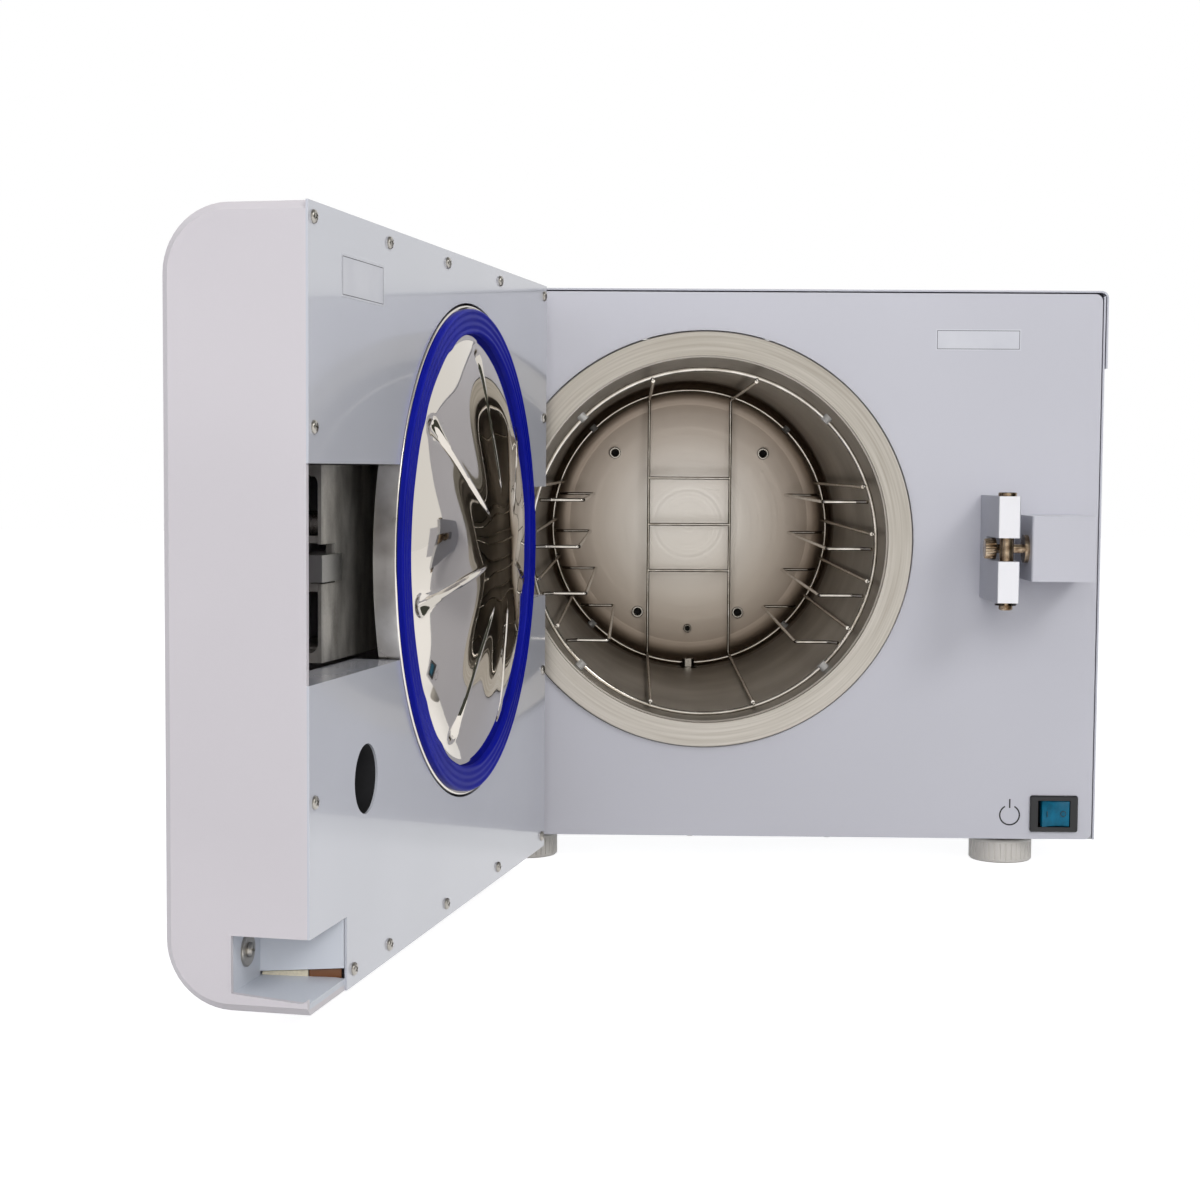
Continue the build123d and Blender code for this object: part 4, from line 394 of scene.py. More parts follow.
def moulded_plastic(name, colour, dark, size=0.9, height=0.02, roughness=0.48):
    """Injection moulded ABS: a fine spark-eroded grain that dulls the highlight, and a very slight mottle."""
    material, shader, coords = blank(name, colour, roughness, IOR=1.53)
    tint(material, shader, coords, 160 * MM, dark or shade(colour, 0.92), colour, detail=1.0)
    noise = grain(material, shader, coords, size * MM, height * MM)
    rough_patches(material, shader, noise, roughness - 0.04, roughness + 0.06)
    return material


def gloss_sheet():
    """Painted sheet with a wet, glossy bake: a clear coat with long soft waves that bend its reflections."""
    material, shader, coords = blank("gloss_enamel_sheet", "#C4C6CE", 0.16, Coat_Weight=0.5,
                                     Coat_Roughness=0.04, Specular_IOR_Level=0.4)
    tint(material, shader, coords, 180 * MM, "#C2C4CC", "#CCCED6", detail=1.0)
    # The waves are as long as a hand is wide, and only bend what the coat reflects
    grain(material, shader, coords, 70 * MM, 0.35 * MM, detail=1.5)
    return material


def satin_vessel_steel():
    """Drawn stainless steel, type 304, ground to a satin, with fine lines around the tube. The back wall has
    painted light: a pale painted highlight in the middle and painted shade, darker brown, towards the edge."""
    material, shader, coords = blank("satin_stainless_vessel", "#C4BCB0", 0.38, 1.0)
    patches = tint(material, shader, coords, 90 * MM, "#A5A099", "#C4BFB8", detail=5.0)
    tube_colour = shader.inputs["Base Color"].links[0].from_socket
    radius, _, along = around_axis(material, coords, AXIS)
    # The dished wall is the last 60 mm of the vessel, and its painted shade begins 30 mm from the middle
    dish = 60 * MM
    wall = add(material, "ShaderNodeMath", {1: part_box("chamber_vessel")[1].y - AXIS.y - dish}, {0: along},
               operation="GREATER_THAN")
    reach = add(material, "ShaderNodeMapRange", {"From Min": 30 * MM, "From Max": 122 * MM},
                {"Value": radius})
    uneven = add(material, "ShaderNodeMath", {1: 0.1}, {0: patches.outputs["Fac"]}, operation="MULTIPLY")
    edge = add(material, "ShaderNodeMath", links={0: reach.outputs["Result"], 1: uneven.outputs["Value"]},
               operation="ADD")
    # Painted light on the back wall: pale in the middle, then painted shade darkening to brown at the edge
    painted_wall_light = add(material, "ShaderNodeValToRGB", links={"Fac": edge.outputs["Value"]},
               stops=((0.0, "#F4EFE8"), (1.0, "#8F7F70"), (0.6, "#CFC4B8")))
    both = add(material, "ShaderNodeMix", data_type="RGBA",
               links={"Factor": wall.outputs["Value"], "A": tube_colour, "B": painted_wall_light.outputs["Color"]})
    feed(material, both.outputs["Result"], shader, "Base Color")
    marks = turned_marks(material, shader, coords, AXIS, 1.2 * MM, 0.004 * MM)
    rough_patches(material, shader, marks, 0.36, 0.42)
    return material


def turned_flange_steel():
    """Stainless steel faced on a lathe, then rubbed by the gasket: circular marks and dull patches."""
    material, shader, coords = blank("turned_stainless_flange", "#C9C4BB", 0.34, 1.0)
    radius, angle, _ = around_axis(material, coords, AXIS)
    sweep = add(material, "ShaderNodeCombineXYZ", links={"X": radius, "Y": angle})
    # A mark is 1.6 mm wide and runs for a good half radian round the flange
    stretched = add(material, "ShaderNodeMapping", {"Scale": (1 / (1.6 * MM), 1.6, 1.0)},
                    {"Vector": sweep.outputs["Vector"]})
    smear = add(material, "ShaderNodeTexNoise", {"Scale": 1.0, "Detail": 4.0},
                {"Vector": stretched.outputs["Vector"]})
    tone = add(material, "ShaderNodeValToRGB", links={"Fac": smear.outputs["Fac"]},
               stops=((0.3, "#A19B92"), (0.7, "#BEB9B1")))
    feed(material, tone.outputs["Color"], shader, "Base Color")
    turned_marks(material, shader, coords, AXIS, 0.9 * MM, 0.02 * MM)
    rough_patches(material, shader, smear, 0.28, 0.42)
    return material


def mirror_steel():
    """Stainless sheet pressed and buffed to a mirror: clear reflections with the faintest buffing haze."""
    material, shader, coords = blank("mirror_polished_stainless", "#CFC9C0", 0.035, 1.0)
    # Buffing leaves shallow dimples about a finger wide
    grain(material, shader, coords, 22 * MM, 0.03 * MM, detail=1.0)
    return material


def brushed_rim_steel():
    """Stainless rim turned after pressing: a dull sheen, with patches where it has been rubbed. Its colour is
    paler than the other stainless, a painted highlight.
    """
    # Painted light: the near-white colour is a lit copy of the stainless
    material, shader, coords = blank("brushed_stainless_rim", "#F0ECE6", 0.3, 1.0)
    patches = tint(material, shader, coords, 20 * MM, "#DAD5CD", "#F4F1EC", detail=4.0)
    rough_patches(material, shader, patches, 0.26, 0.38)
    return material


def painted_bore_shade():
    """Painted shade inside the bore of a port: near black and matt, a little uneven."""
    material, shader, coords = blank("bore_painted_shade", "#1D1A17", 0.6)
    tint(material, shader, coords, 3 * MM, "#14120F", "#2A2621")
    return material


def bright_wire():
    """Electropolished stainless wire: bright and smooth, slightly warm, with drawn lines too fine to see."""
    material, shader, coords = blank("electropolished_wire", "#CBC5BC", 0.16, 1.0)
    tint(material, shader, coords, 14 * MM, "#B0A99E", "#D6D1C9")
    return material


def bright_metal(name, colour, roughness):
    """Small machined, drawn or rolled metal parts: a clean highlight and light handling marks."""
    material, shader, coords = blank(name, colour, roughness, 1.0)
    noise = grain(material, shader, coords, 0.6 * MM, 0.01 * MM)
    rough_patches(material, shader, noise, roughness - 0.04, roughness + 0.08)
    return material


def cast_aluminium():
    """Gravity cast aluminium: grey, with a coarse sandy skin and dark flow stains."""
    material, shader, coords = blank("cast_aluminium", "#A5A39E", 0.5, 0.85)
    tint(material, shader, coords, 12 * MM, "#8A8782", "#B9B6B0", detail=8.0, stretch=(1, 1, 0.35))
    noise = grain(material, shader, coords, 1.6 * MM, 0.12 * MM, detail=6.0)
    rough_patches(material, shader, noise, 0.42, 0.62)
    return material


def milled_steel(name, colour):
    """Milled steel: parallel cutter lines and a half-bright face."""
    material, shader, coords = blank(name, colour, 0.36, 1.0)
    marks = streaks(material, shader, coords, 0.5 * MM, 14 * MM, 0.02 * MM, 0)
    rough_patches(material, shader, marks, 0.3, 0.46)
    return material


def painted_block():
    """Catch block: grey powder coat all over, with its front faces milled bright after painting."""
    material, shader, coords = blank("coated_block_milled_front", "#A9ABB4", 0.45)
    milled_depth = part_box("catch_clevis")[0].y + 0.25 * MM
    depth = add(material, "ShaderNodeSeparateXYZ", links={"Vector": coords})
    front = add(material, "ShaderNodeMath", {1: milled_depth}, {0: depth.outputs["Y"]}, operation="LESS_THAN")
    marks = streaks(material, shader, coords, 0.45 * MM, 9 * MM, 0.02 * MM, 2)
    colour = add(material, "ShaderNodeMix", {"A": linear("#A9ABB4"), "B": linear("#E4E4E8")},
                 {"Factor": front.outputs["Value"]}, data_type="RGBA")
    feed(material, colour.outputs["Result"], shader, "Base Color")
    metal = add(material, "ShaderNodeMath", {1: 0.75}, {0: front.outputs["Value"]}, operation="MULTIPLY")
    feed(material, metal.outputs["Value"], shader, "Metallic")
    rough_patches(material, shader, marks, 0.38, 0.5)
    return material


def silicone(colour):
    """Cast silicone rubber: deep blue, smooth and slightly waxy, so that its highlight is soft and weak."""
    material, shader, coords = blank("blue_silicone", colour, 0.5, IOR=1.41, Specular_IOR_Level=0.22)
    tint(material, shader, coords, 40 * MM, shade(colour, 0.8), colour)
    grain(material, shader, coords, 3 * MM, 0.02 * MM)
    return material


def worn_nickel():
    """Nickel plate over brass on a knob: warm where the plate has worn to the brass."""
    material, shader, coords = blank("worn_nickel_on_brass", "#94806A", 0.2, 1.0)
    tint(material, shader, coords, 5 * MM, "#6B553F", "#B9A892", detail=5.0)
    return material


def clear_blue(colour):
    """Tinted polycarbonate rocker: teal, with a clear gloss and light passing through its upper skin."""
    material, shader, coords = blank("teal_polycarbonate", colour, 0.3, IOR=1.58, Specular_IOR_Level=0.15,
                                     Transmission_Weight=0.1)
    tint(material, shader, coords, 7 * MM, shade(colour, 0.7), shade(colour, 1.2))
    grain(material, shader, coords, 4 * MM, 0.05 * MM)
    return material


def rubber_pad():
    """Moulded nitrile rubber: black, dull and dusty."""
    material, shader, coords = blank("black_rubber", "#1B1B1B", 0.78)
    tint(material, shader, coords, 12 * MM, "#161616", "#242424")
    grain(material, shader, coords, 1.0 * MM, 0.05 * MM)
    return material


def machined_brass(name, colour, dark):
    """Turned brass or copper: warm metal, a little tarnished in patches."""
    material, shader, coords = blank(name, colour, 0.3, 1.0)
    tint(material, shader, coords, 16 * MM, dark, colour, detail=5.0)
    grain(material, shader, coords, 1.0 * MM, 0.015 * MM)
    return material


def circuit_laminate():
    """Glass-epoxy board under green solder mask: tracks show as slightly lighter lines."""
    material, shader, coords = blank("green_circuit_laminate", "#1E6B3C", 0.35, Coat_Weight=0.3)
    tracks = add(material, "ShaderNodeTexBrick",
                 {"Scale": 1 / (11.1 * MM), "Mortar Size": 0.03, "Color1": linear("#1E6B3C"),
                  "Color2": linear("#1A5F35"), "Mortar": linear("#2F8A55")}, {"Vector": coords})
    feed(material, tracks.outputs["Color"], shader, "Base Color")
    return material


def smoked_window():
    """Smoked acrylic over a display: near black and glossy, with the faint grid of the cells behind it."""
    material, shader, coords = blank("smoked_acrylic", "#0B0F12", 0.06, IOR=1.49, Coat_Weight=0.5,
                                     Coat_Roughness=0.02)
    cells = add(material, "ShaderNodeTexBrick",
                {"Scale": 1 / (6.25 * MM), "Mortar Size": 0.02, "Color1": linear("#0D1216"),
                 "Color2": linear("#0F151A"), "Mortar": linear("#090C0F")}, {"Vector": coords})
    feed(material, cells.outputs["Color"], shader, "Base Color")
    return material


def printed_ink(name, colour):
    """Screen-printed ink: opaque and slightly matt, a little uneven from the mesh of the screen."""
    material, shader, coords = blank(name, colour, 0.5)
    tint(material, shader, coords, 1.5 * MM, shade(colour, 0.85), colour)
    grain(material, shader, coords, 0.4 * MM, 0.005 * MM)
    return material


def looked_at(material):
    """A socket that is 1 where the floor or the room is seen, mirrored or seen through glass, and 0 where it
    only lights the object."""
    paths = add(material, "ShaderNodeLightPath")
    seen = add(material, "ShaderNodeMath", operation="MAXIMUM",
               links={0: paths.outputs["Is Camera Ray"], 1: paths.outputs["Is Glossy Ray"]})
    also = add(material, "ShaderNodeMath", operation="MAXIMUM",
               links={0: seen.outputs["Value"], 1: paths.outputs["Is Transmission Ray"]})
    return also.outputs["Value"]


def white_floor():
    """White paper sweep: it shows as white, and the object's shadow stays on it."""
    material = empty_material("white_floor")
    level = add(material, "ShaderNodeMath", {1: 0.84}, {0: looked_at(material)}, operation="MULTIPLY")
    glow = add(material, "ShaderNodeEmission", {"Color": linear("#FFFFFF")},
               {"Strength": level.outputs["Value"]})
    paper = add(material, "ShaderNodeBsdfDiffuse", {"Color": linear("#C4C4C6")})
    both = add(material, "ShaderNodeAddShader", links={0: glow.outputs["Emission"], 1: paper.outputs["BSDF"]})
    add(material, "ShaderNodeOutputMaterial", links={"Surface": both.outputs["Shader"]})
    return material


def grey_screen(strength, colour):
    """Grey cloth: an even, dim tone in what the polished metal reflects."""
    material = empty_material("grey_screen")
    glow = add(material, "ShaderNodeEmission", {"Color": linear(colour), "Strength": strength})
    add(material, "ShaderNodeOutputMaterial", links={"Surface": glow.outputs["Emission"]})
    return material


def label_film():
    """Blank polyester label: off-white film with a soft sheen."""
    material, shader, coords = blank("white_polyester_label", "#D2D3DA", 0.34, Coat_Weight=0.15)
    tint(material, shader, coords, 30 * MM, "#CDCED5", "#D6D7DD")
    return material


def black_mould(name, roughness):
    """Black nylon moulding: dull, with a slight grain."""
    material, shader, coords = blank(name, "#121213", roughness, IOR=1.53)
    tint(material, shader, coords, 20 * MM, "#0E0E0F", "#17171A")
    grain(material, shader, coords, 0.8 * MM, 0.02 * MM)
    return material


class AutoclaveSizes(bpy.types.PropertyGroup):
    """Sizes of the pieces that dress the autoclave."""
    groove_count: IntProperty(name="Grooves", description="Radial grooves pressed into the door's disc",
                              default=7, min=3, max=16)
    groove_depth: FloatProperty(name="Groove depth", description="Deepest point of a groove",
                                default=2.4 * MM, unit="LENGTH")
    groove_half_width: FloatProperty(name="Groove half width", description="Half the width at the outer end",
                                     default=6.8 * MM, unit="LENGTH")
    petal_height: FloatProperty(name="Petal height", description="Swell of the disc between its grooves",
                                default=1.5 * MM, unit="LENGTH")
    groove_outer: FloatProperty(name="Groove outer radius", description="Where a groove ends, near the rim",
                                default=117 * MM, unit="LENGTH")
    groove_inner: FloatProperty(name="Groove inner radius", description="Where a groove fades out",
                                default=30 * MM, unit="LENGTH")
    gasket_ridges: IntProperty(name="Gasket ridges", description="Rings moulded on the gasket's face",
                               default=3, min=0, max=6)
    knurl_count: IntProperty(name="Knurls", description="Ridges round the lock bolt's knob",
                             default=20, min=8, max=40)
    bead_radius: FloatProperty(name="Weld bead", description="Radius of a weld bead on the wire rack",
                               default=2.0 * MM, unit="LENGTH")


class AutoclaveColours(bpy.types.PropertyGroup):
    """Colours that a user may change."""
    paint: FloatVectorProperty(name="Paint", description="Powder coat of the front panel", subtype="COLOR",
                               default=linear("#CCCCD4")[:3], min=0, max=1)
    door: FloatVectorProperty(name="Door", description="Plastic of the door's outer shell", subtype="COLOR",
                              default=linear("#D5D0D4")[:3], min=0, max=1)
    gasket: FloatVectorProperty(name="Gasket", description="Silicone of the door's gasket", subtype="COLOR",
                                default=linear("#000F9C")[:3], min=0, max=1)
    rocker: FloatVectorProperty(name="Switch", description="Rocker of the power switch", subtype="COLOR",
                                default=linear("#006A8A")[:3], min=0, max=1)


def dome_height(radius):
    """Height of the disc's dome above its rim at this radius."""
    ball = (DOME_REACH ** 2 + DOME_RISE ** 2) / (2 * DOME_RISE)
    return sqrt(ball ** 2 - radius ** 2) - (ball - DOME_RISE)


def soft_step(value):
    """A smooth step from 0 to 1."""
    value = min(max(value, 0.0), 1.0)
    return value * value * (3 - 2 * value)


def groove_drop(x, z, sizes):
    """How far the press has pushed the disc's dome in at a point measured from the disc's middle."""
    flat_middle, stem, taper, fade_run, tip_run = 20 * MM, 1.7 * MM, 9 * MM, 30 * MM, 6 * MM
    radius = hypot(x, z)
    if not flat_middle < radius < sizes.groove_outer + MM:
        return 0.0
    pitch = 2 * pi / sizes.groove_count
    angle = atan2(z, x) - pi / 2
    offset = (angle + pitch / 2) % pitch - pitch / 2
    # The petals between the grooves stand out, and the metal sinks slowly towards each groove
    swell = sin(pi * (radius - flat_middle) / (sizes.groove_outer - flat_middle)) ** 2
    petal = sizes.petal_height * swell * (0.5 + 0.5 * cos(sizes.groove_count * angle))
    along = radius * cos(offset)
    across = abs(radius * sin(offset))
    tip = sizes.groove_outer - along
    if tip <= 0 or along < sizes.groove_inner:
        return petal
    # A groove is a teardrop: a round outer end that narrows to a thin stem
    end = sizes.groove_half_width
    if tip < end:
        half = sqrt(max(end ** 2 - (end - tip) ** 2, 1e-12))
    else:
        half = stem + (end - stem) * exp(-(tip - end) / taper)
    bowl = 1 - soft_step(across / (1.15 * half))
    fade = soft_step((along - sizes.groove_inner) / fade_run)
    return petal + sizes.groove_depth * fade * soft_step(tip / tip_run) * bowl


def disc_profile():
    """Half the section of the disc: its domed front, its rounded corner, its deep rim and its back."""
    wall, dome_rings, corner_steps = 4.4 * MM, 76, 4
    radii = [0.0] + [DOME_REACH * step / dome_rings for step in range(2, dome_rings + 1)]
    front = [(radius, DISC_SEAT + dome_height(radius)) for radius in radii]
    front.append((RIM - RIM_EDGE, DISC_SEAT))
    corner = arc((RIM - RIM_EDGE, DISC_SEAT - RIM_EDGE), RIM_EDGE, 75, 0, corner_steps)
    side = [(RIM, -RIM_DEPTH), (RIM - RIM_WALL, -RIM_DEPTH), (RIM - RIM_WALL, DISC_SEAT - wall),
            (DOME_REACH, DISC_SEAT - wall)]
    # The back needs only one point in nine
    back = [(radius, DISC_SEAT + dome_height(radius) - wall) for radius in radii[-2::-9] + [0.0]]
    return front + corner + side + back


def press_grooves(disc, sizes):
    """Push the grooves into the front of the dome."""
    for vert in disc.data.vertices:
        x, z = vert.co.x - DISC_CENTRE.x, vert.co.z - DISC_CENTRE.z
        front = DISC_CENTRE.y + DISC_SEAT + dome_height(min(hypot(x, z), DOME_REACH))
        if abs(vert.co.y - front) < 5 * SAME_POINT:
            vert.co.y -= groove_drop(x, z, sizes)


def on_rim_side(spot):
    """Whether a point of the disc lies on the side of its rim."""
    across = hypot(spot.x - DISC_CENTRE.x, spot.z - DISC_CENTRE.z)
    return spot.y < DISC_CENTRE.y + DISC_SEAT - RIM_EDGE / 2 and across > RIM - 1.2 * RIM_WALL


class AUTOCLAVE_OT_pressure_disc(bpy.types.Operator):
    """Spin the mirror-bright pressure disc and press its radial grooves"""
    bl_idname = "autoclave.pressure_disc"
    bl_label = "Pressure disc"

    def execute(self, context):
        disc = turned_piece("pressure_disc", disc_profile(), DISC_CENTRE, ALONG_Y, 504)
        press_grooves(disc, context.scene.autoclave_sizes)
        smooth(disc, 40)
        place(disc, mirror_steel(), "door", ["door_disc"], "disc_steel")
        second_finish(disc, brushed_rim_steel(), on_rim_side)
        swing_open(disc)
        return {"FINISHED"}


def seal_profile(ridges):
    """The section of the gasket: two rounded corners, and shallow ridges between them."""
    face, ridge_depth, ridge_steps, corner_steps = 3.8 * MM, 0.35 * MM, 24, 5
    width = SEAL_OUTER - SEAL_INNER - 2 * SEAL_CORNER
    profile = [(SEAL_INNER, DISC_SEAT)]
    profile += arc((SEAL_INNER + SEAL_CORNER, face - SEAL_CORNER), SEAL_CORNER, 180, 95, corner_steps)
    for step in range(1, ridge_steps):
        wave = 0.5 - 0.5 * cos(2 * pi * ridges * step / ridge_steps)
        across = SEAL_INNER + SEAL_CORNER + width * step / ridge_steps
        profile.append((across, face - ridge_depth * wave))
    profile += arc((SEAL_OUTER - SEAL_CORNER, face - SEAL_CORNER), SEAL_CORNER, 85, 0, corner_steps)
    return profile + [(SEAL_OUTER, DISC_SEAT), (SEAL_INNER, DISC_SEAT)]


def loosen_inner_edge(ring):
    """The moulding's inner edge isn't quite round, and it bulges where the disc was laid in."""
    spread, ripple, bulge, bulge_turn = 0.2 * MM, 0.25 * MM, 1.1 * MM, 0.05
    bulges = (1.15, 0.62, 2.85, 4.05, 5.3, 5.62)
    for vert in ring.data.vertices:
        x, z = vert.co.x - DISC_CENTRE.x, vert.co.z - DISC_CENTRE.z
        radius, angle = hypot(x, z), atan2(z, x)
        if radius > SEAL_INNER + 2 * SEAL_CORNER:
            continue
        wave = ripple * (sin(5 * angle) + 0.6 * sin(11 * angle + 1) + 0.4 * sin(23 * angle + 2))
        for middle in bulges:
            apart = (angle - middle + pi) % (2 * pi) - pi
            wave -= bulge * exp(-(apart / bulge_turn) ** 2)
        grown = (radius + wave + spread) / radius
        vert.co.x, vert.co.z = DISC_CENTRE.x + x * grown, DISC_CENTRE.z + z * grown


class AUTOCLAVE_OT_gasket(bpy.types.Operator):
    """Spin the silicone gasket with its face ridges"""
    bl_idname = "autoclave.gasket"
    bl_label = "Gasket"

    def execute(self, context):
        ridges = context.scene.autoclave_sizes.gasket_ridges
        ring = turned_piece("door_seal", seal_profile(ridges), DISC_CENTRE, ALONG_Y, 300)
        loosen_inner_edge(ring)
        smooth(ring, 50)
        swing_open(ring)
        finish = silicone(context.scene.autoclave_colours.gasket)
        place(ring, finish, "door", ["door_gasket"], "gasket_silicone")
        return {"FINISHED"}


def pan_screw(name, radius, height):
    """A pan head with a cross recess, facing +Z, with its seat at the origin."""
    crown = ((0.0, 1.0), (0.45, 1.0), (0.7, 0.93), (0.88, 0.75), (0.98, 0.48), (1.0, 0.2), (1.0, 0.0),
             (0.0, 0.0))
    profile = [(radius * across, height * up) for across, up in crown]
    head = turned_piece(name, profile, Vector((0, 0, 0)), ALONG_Z, 28)
    cutters = []
    for turn in (0, 90):
        clear_selection()
        bpy.ops.mesh.primitive_cube_add(size=1, location=(0, 0, height), rotation=(0, 0, radians(turn)),
                                        scale=(radius * 1.15, radius * 0.24, height * 1.1))
        cutters.append(finish_mesh(bpy.context.object))
    for cutter in cutters:
        apply_modifier(head, "BOOLEAN", operation="DIFFERENCE", solver="EXACT", object=cutter)
        bpy.data.objects.remove(cutter)
    smooth(head, 28)
    return head


def copy_to(piece, name, matrix):
    """A copy of a piece with its own mesh, moved by a matrix."""
    twin = piece.copy()
    twin.data = piece.data.copy()
    twin.name = name
    bpy.context.scene.collection.objects.link(twin)
    twin.data.transform(matrix)
    return twin


def door_screws(head, washer_head):
    """The screws of the inner cover, on the shut door. The wide one is the washer screw of the notch."""
    bore, edge, shoulder, thick = 2 * MM, 8 * MM, 0.6 * MM, 1.1 * MM
    washer_profile = [(bore, 0), (bore, thick), (edge - shoulder, thick), (edge, shoulder), (edge, 0),
                      (bore, 0)]
    pieces = []
    for index, (low, high) in enumerate(loose_boxes("door_cover_screws", shut=True)):
        middle = (low + high) / 2
        seat = Vector((middle.x, low.y, middle.z))
        turn = Matrix.Rotation(radians(-90), 4, "X") @ Matrix.Rotation(index * CROSS_TURN, 4, "Z")
        screw = head
        if high.x - low.x > edge:
            washer = turned_piece("washer", washer_profile, seat, ALONG_Y, 40)
            smooth(washer, 30)
            pieces.append(washer)
            screw = washer_head
            seat = seat + ALONG_Y * thick
        pieces.append(copy_to(screw, "door_screw", Matrix.Translation(seat) @ turn))
    return join(pieces, "door_screws")


def case_screws(head):
    """The screws of the casing, each turned to face out of its own sheet."""
    pieces = []
    for index, (low, high) in enumerate(loose_boxes("casing_screws")):
        middle = (low + high) / 2
        size = high - low
        spin = Matrix.Rotation(index * CROSS_TURN, 4, "Z")
        if size.x < size.y:
            side = 1 if middle.x > AXIS.x else -1
            seat = Vector((low.x if side > 0 else high.x, middle.y, middle.z))
            turn = Matrix.Rotation(radians(90 * side), 4, "Y")
        elif size.z < size.y:
            seat = Vector((middle.x, middle.y, high.z))
            turn = Matrix.Rotation(radians(180), 4, "X")
        else:
            seat = Vector((middle.x, low.y, middle.z))
            turn = Matrix.Rotation(radians(-90), 4, "X")
        pieces.append(copy_to(head, "case_screw", Matrix.Translation(seat) @ turn @ spin))
    return join(pieces, "case_screws")


class AUTOCLAVE_OT_screws(bpy.types.Operator):
    """Put a cross-recessed pan screw at every screw of the casing and of the door"""
    bl_idname = "autoclave.screws"
    bl_label = "Screws"

    def execute(self, context):
        finish = bright_metal("zinc_plated_screw_steel", "#A9A59E", 0.3)
        head = pan_screw("pan_screw", 3.2 * MM, 1.8 * MM)
        washer_head = pan_screw("washer_screw", 3.6 * MM, 2.0 * MM)
        on_door = swing_open(door_screws(head, washer_head))
        place(on_door, finish, "door", ["door_cover_screws"], "screw_steel")
        place(case_screws(head), finish, "cabinet", ["casing_screws"], "screw_steel")
        for pattern in (head, washer_head):
            bpy.data.objects.remove(pattern)
        return {"FINISHED"}


class AUTOCLAVE_OT_lock_bolt(bpy.types.Operator):
    """Model the sprung lock bolt with its ridged knob"""
    bl_idname = "autoclave.lock_bolt"
    bl_label = "Lock bolt"

    def execute(self, context):
        sizes = context.scene.autoclave_sizes
        low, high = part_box("lock_bolt")
        middle = (low + high) / 2
        length, tip, base, rod, chamfer = 7.2 * MM, 6.5 * MM, 7.3 * MM, 3.0 * MM, 0.8 * MM
        valley = 0.94
        ridge_points = 4 * sizes.knurl_count
        clear_selection()
        bpy.ops.mesh.primitive_cone_add(vertices=ridge_points, radius1=tip, radius2=base, depth=length,
                                        location=(low.x + length / 2, middle.y, middle.z),
                                        rotation=(0, radians(90), 0))
        knob = finish_mesh(bpy.context.object)
        knob.name = "lock_bolt_knob"
        for vert in knob.data.vertices:
            y, z = vert.co.y - middle.y, vert.co.z - middle.z
            turn = atan2(z, y) / (2 * pi) * sizes.knurl_count
            inward = valley if (turn % 1) > 0.5 else 1.0
            vert.co.y, vert.co.z = middle.y + y * inward, middle.z + z * inward
        apply_modifier(knob, "BEVEL", width=0.3 * MM, segments=2, limit_method="ANGLE",
                       angle_limit=radians(50))
        smooth(knob, 25)
        far = high.x - low.x
        profile = [(0, length), (rod, length), (rod, far - chamfer), (rod - chamfer, far), (0, far)]
        shaft = turned_piece("lock_bolt_rod", profile, Vector((low.x, middle.y, middle.z)), ALONG_X, 40)
        smooth(shaft, 30)
        bolt = join([knob, shaft], "lock_bolt_turned")
        place(bolt, worn_nickel(), "lock_bolt", ["lock_bolt"], "nickel_brass")
        return {"FINISHED"}


def flat_ring(name, centre, radius, width, height, start, end, steps):
    """A printed arc of a ring on a face that looks to -Y, with angles in degrees from +X towards +Z."""
    clear_selection()
    first = radians(start)
    spot = centre + Vector((cos(first), 0, sin(first))) * (radius - width / 2)
    bpy.ops.mesh.primitive_plane_add(size=1, location=spot - Vector((0, height / 2, 0)))
    piece = bpy.context.object
    piece.scale = (width, height, 1)
    piece.rotation_euler = (0, -first, 0)
    finish_mesh(piece)
    piece.name = name
    bpy.ops.object.mode_set(mode="EDIT")
    bpy.ops.mesh.select_all(action="SELECT")
    bpy.ops.mesh.spin(steps=steps, angle=radians(end - start), center=centre, axis=(0, 1, 0))
    bpy.ops.mesh.select_all(action="SELECT")
    bpy.ops.mesh.remove_doubles(threshold=SAME_POINT)
    bpy.ops.mesh.fill_holes(sides=4)
    bpy.ops.object.mode_set(mode="OBJECT")
    tidy_normals(piece)
    return piece


def rocker_body(pivot):
    """The rocker, level: a block whose face is hollow, so that its two ends stand out past its middle."""
    half, tall, back = 9.7 * MM, 17.6 * MM, 3 * MM
    ends, between, hollow = -7.4 * MM, -5.3 * MM, -4.6 * MM
    profile = [(-half, ends), (-half / 2, between), (0, hollow), (half / 2, between), (half, ends),
               (half - MM, back), (-half + MM, back), (-half, ends)]
    outline = [pivot + Vector((x, y, -tall / 2)) for x, y in profile]
    rocker = start_chain("rocker", outline[0])
    extrude_chain(outline)
    bpy.ops.mesh.select_all(action="SELECT")
    bpy.ops.mesh.remove_doubles(threshold=SAME_POINT)
    bpy.ops.mesh.edge_face_add()
    bpy.ops.mesh.extrude_region_move(TRANSFORM_OT_translate={"value": ALONG_Z * tall})
    finish_mesh(rocker)
    tidy_normals(rocker)
    apply_modifier(rocker, "BEVEL", width=0.7 * MM, segments=3, limit_method="ANGLE",
                   angle_limit=radians(40))
    smooth(rocker, 35)
    return rocker


def rocker_marks(pivot):
    """The ring and the bar printed on the level rocker."""
    off_mark = flat_ring("off_mark", pivot + Vector((5.6, -5.95, 0)) * MM, 2.1 * MM, 0.55 * MM,
                         0.5 * MM, 0, 360, 28)
    on_mark = rounded_block("on_mark", pivot + Vector((-6.0, -6.35, -1.9)) * MM,
                            pivot + Vector((-5.4, -5.6, 1.9)) * MM, 0.1 * MM)
    return join([off_mark, on_mark], "rocker_marks")


def power_sign():
    """The ring with a bar in its open top, printed on the panel beside the switch."""
    centre = AXIS + Vector((211, 0, -186.9)) * MM
    circle = flat_ring("power_circle", centre, 7.2 * MM, 1.0 * MM, 0.06 * MM, 118, 422, 60)
    bar = rounded_block("power_bar", centre + Vector((-0.5, -0.06, 4.9)) * MM,
                        centre + Vector((0.5, 0.0, 11.1)) * MM, 0.02 * MM, 1)
    return join([circle, bar], "power_sign")


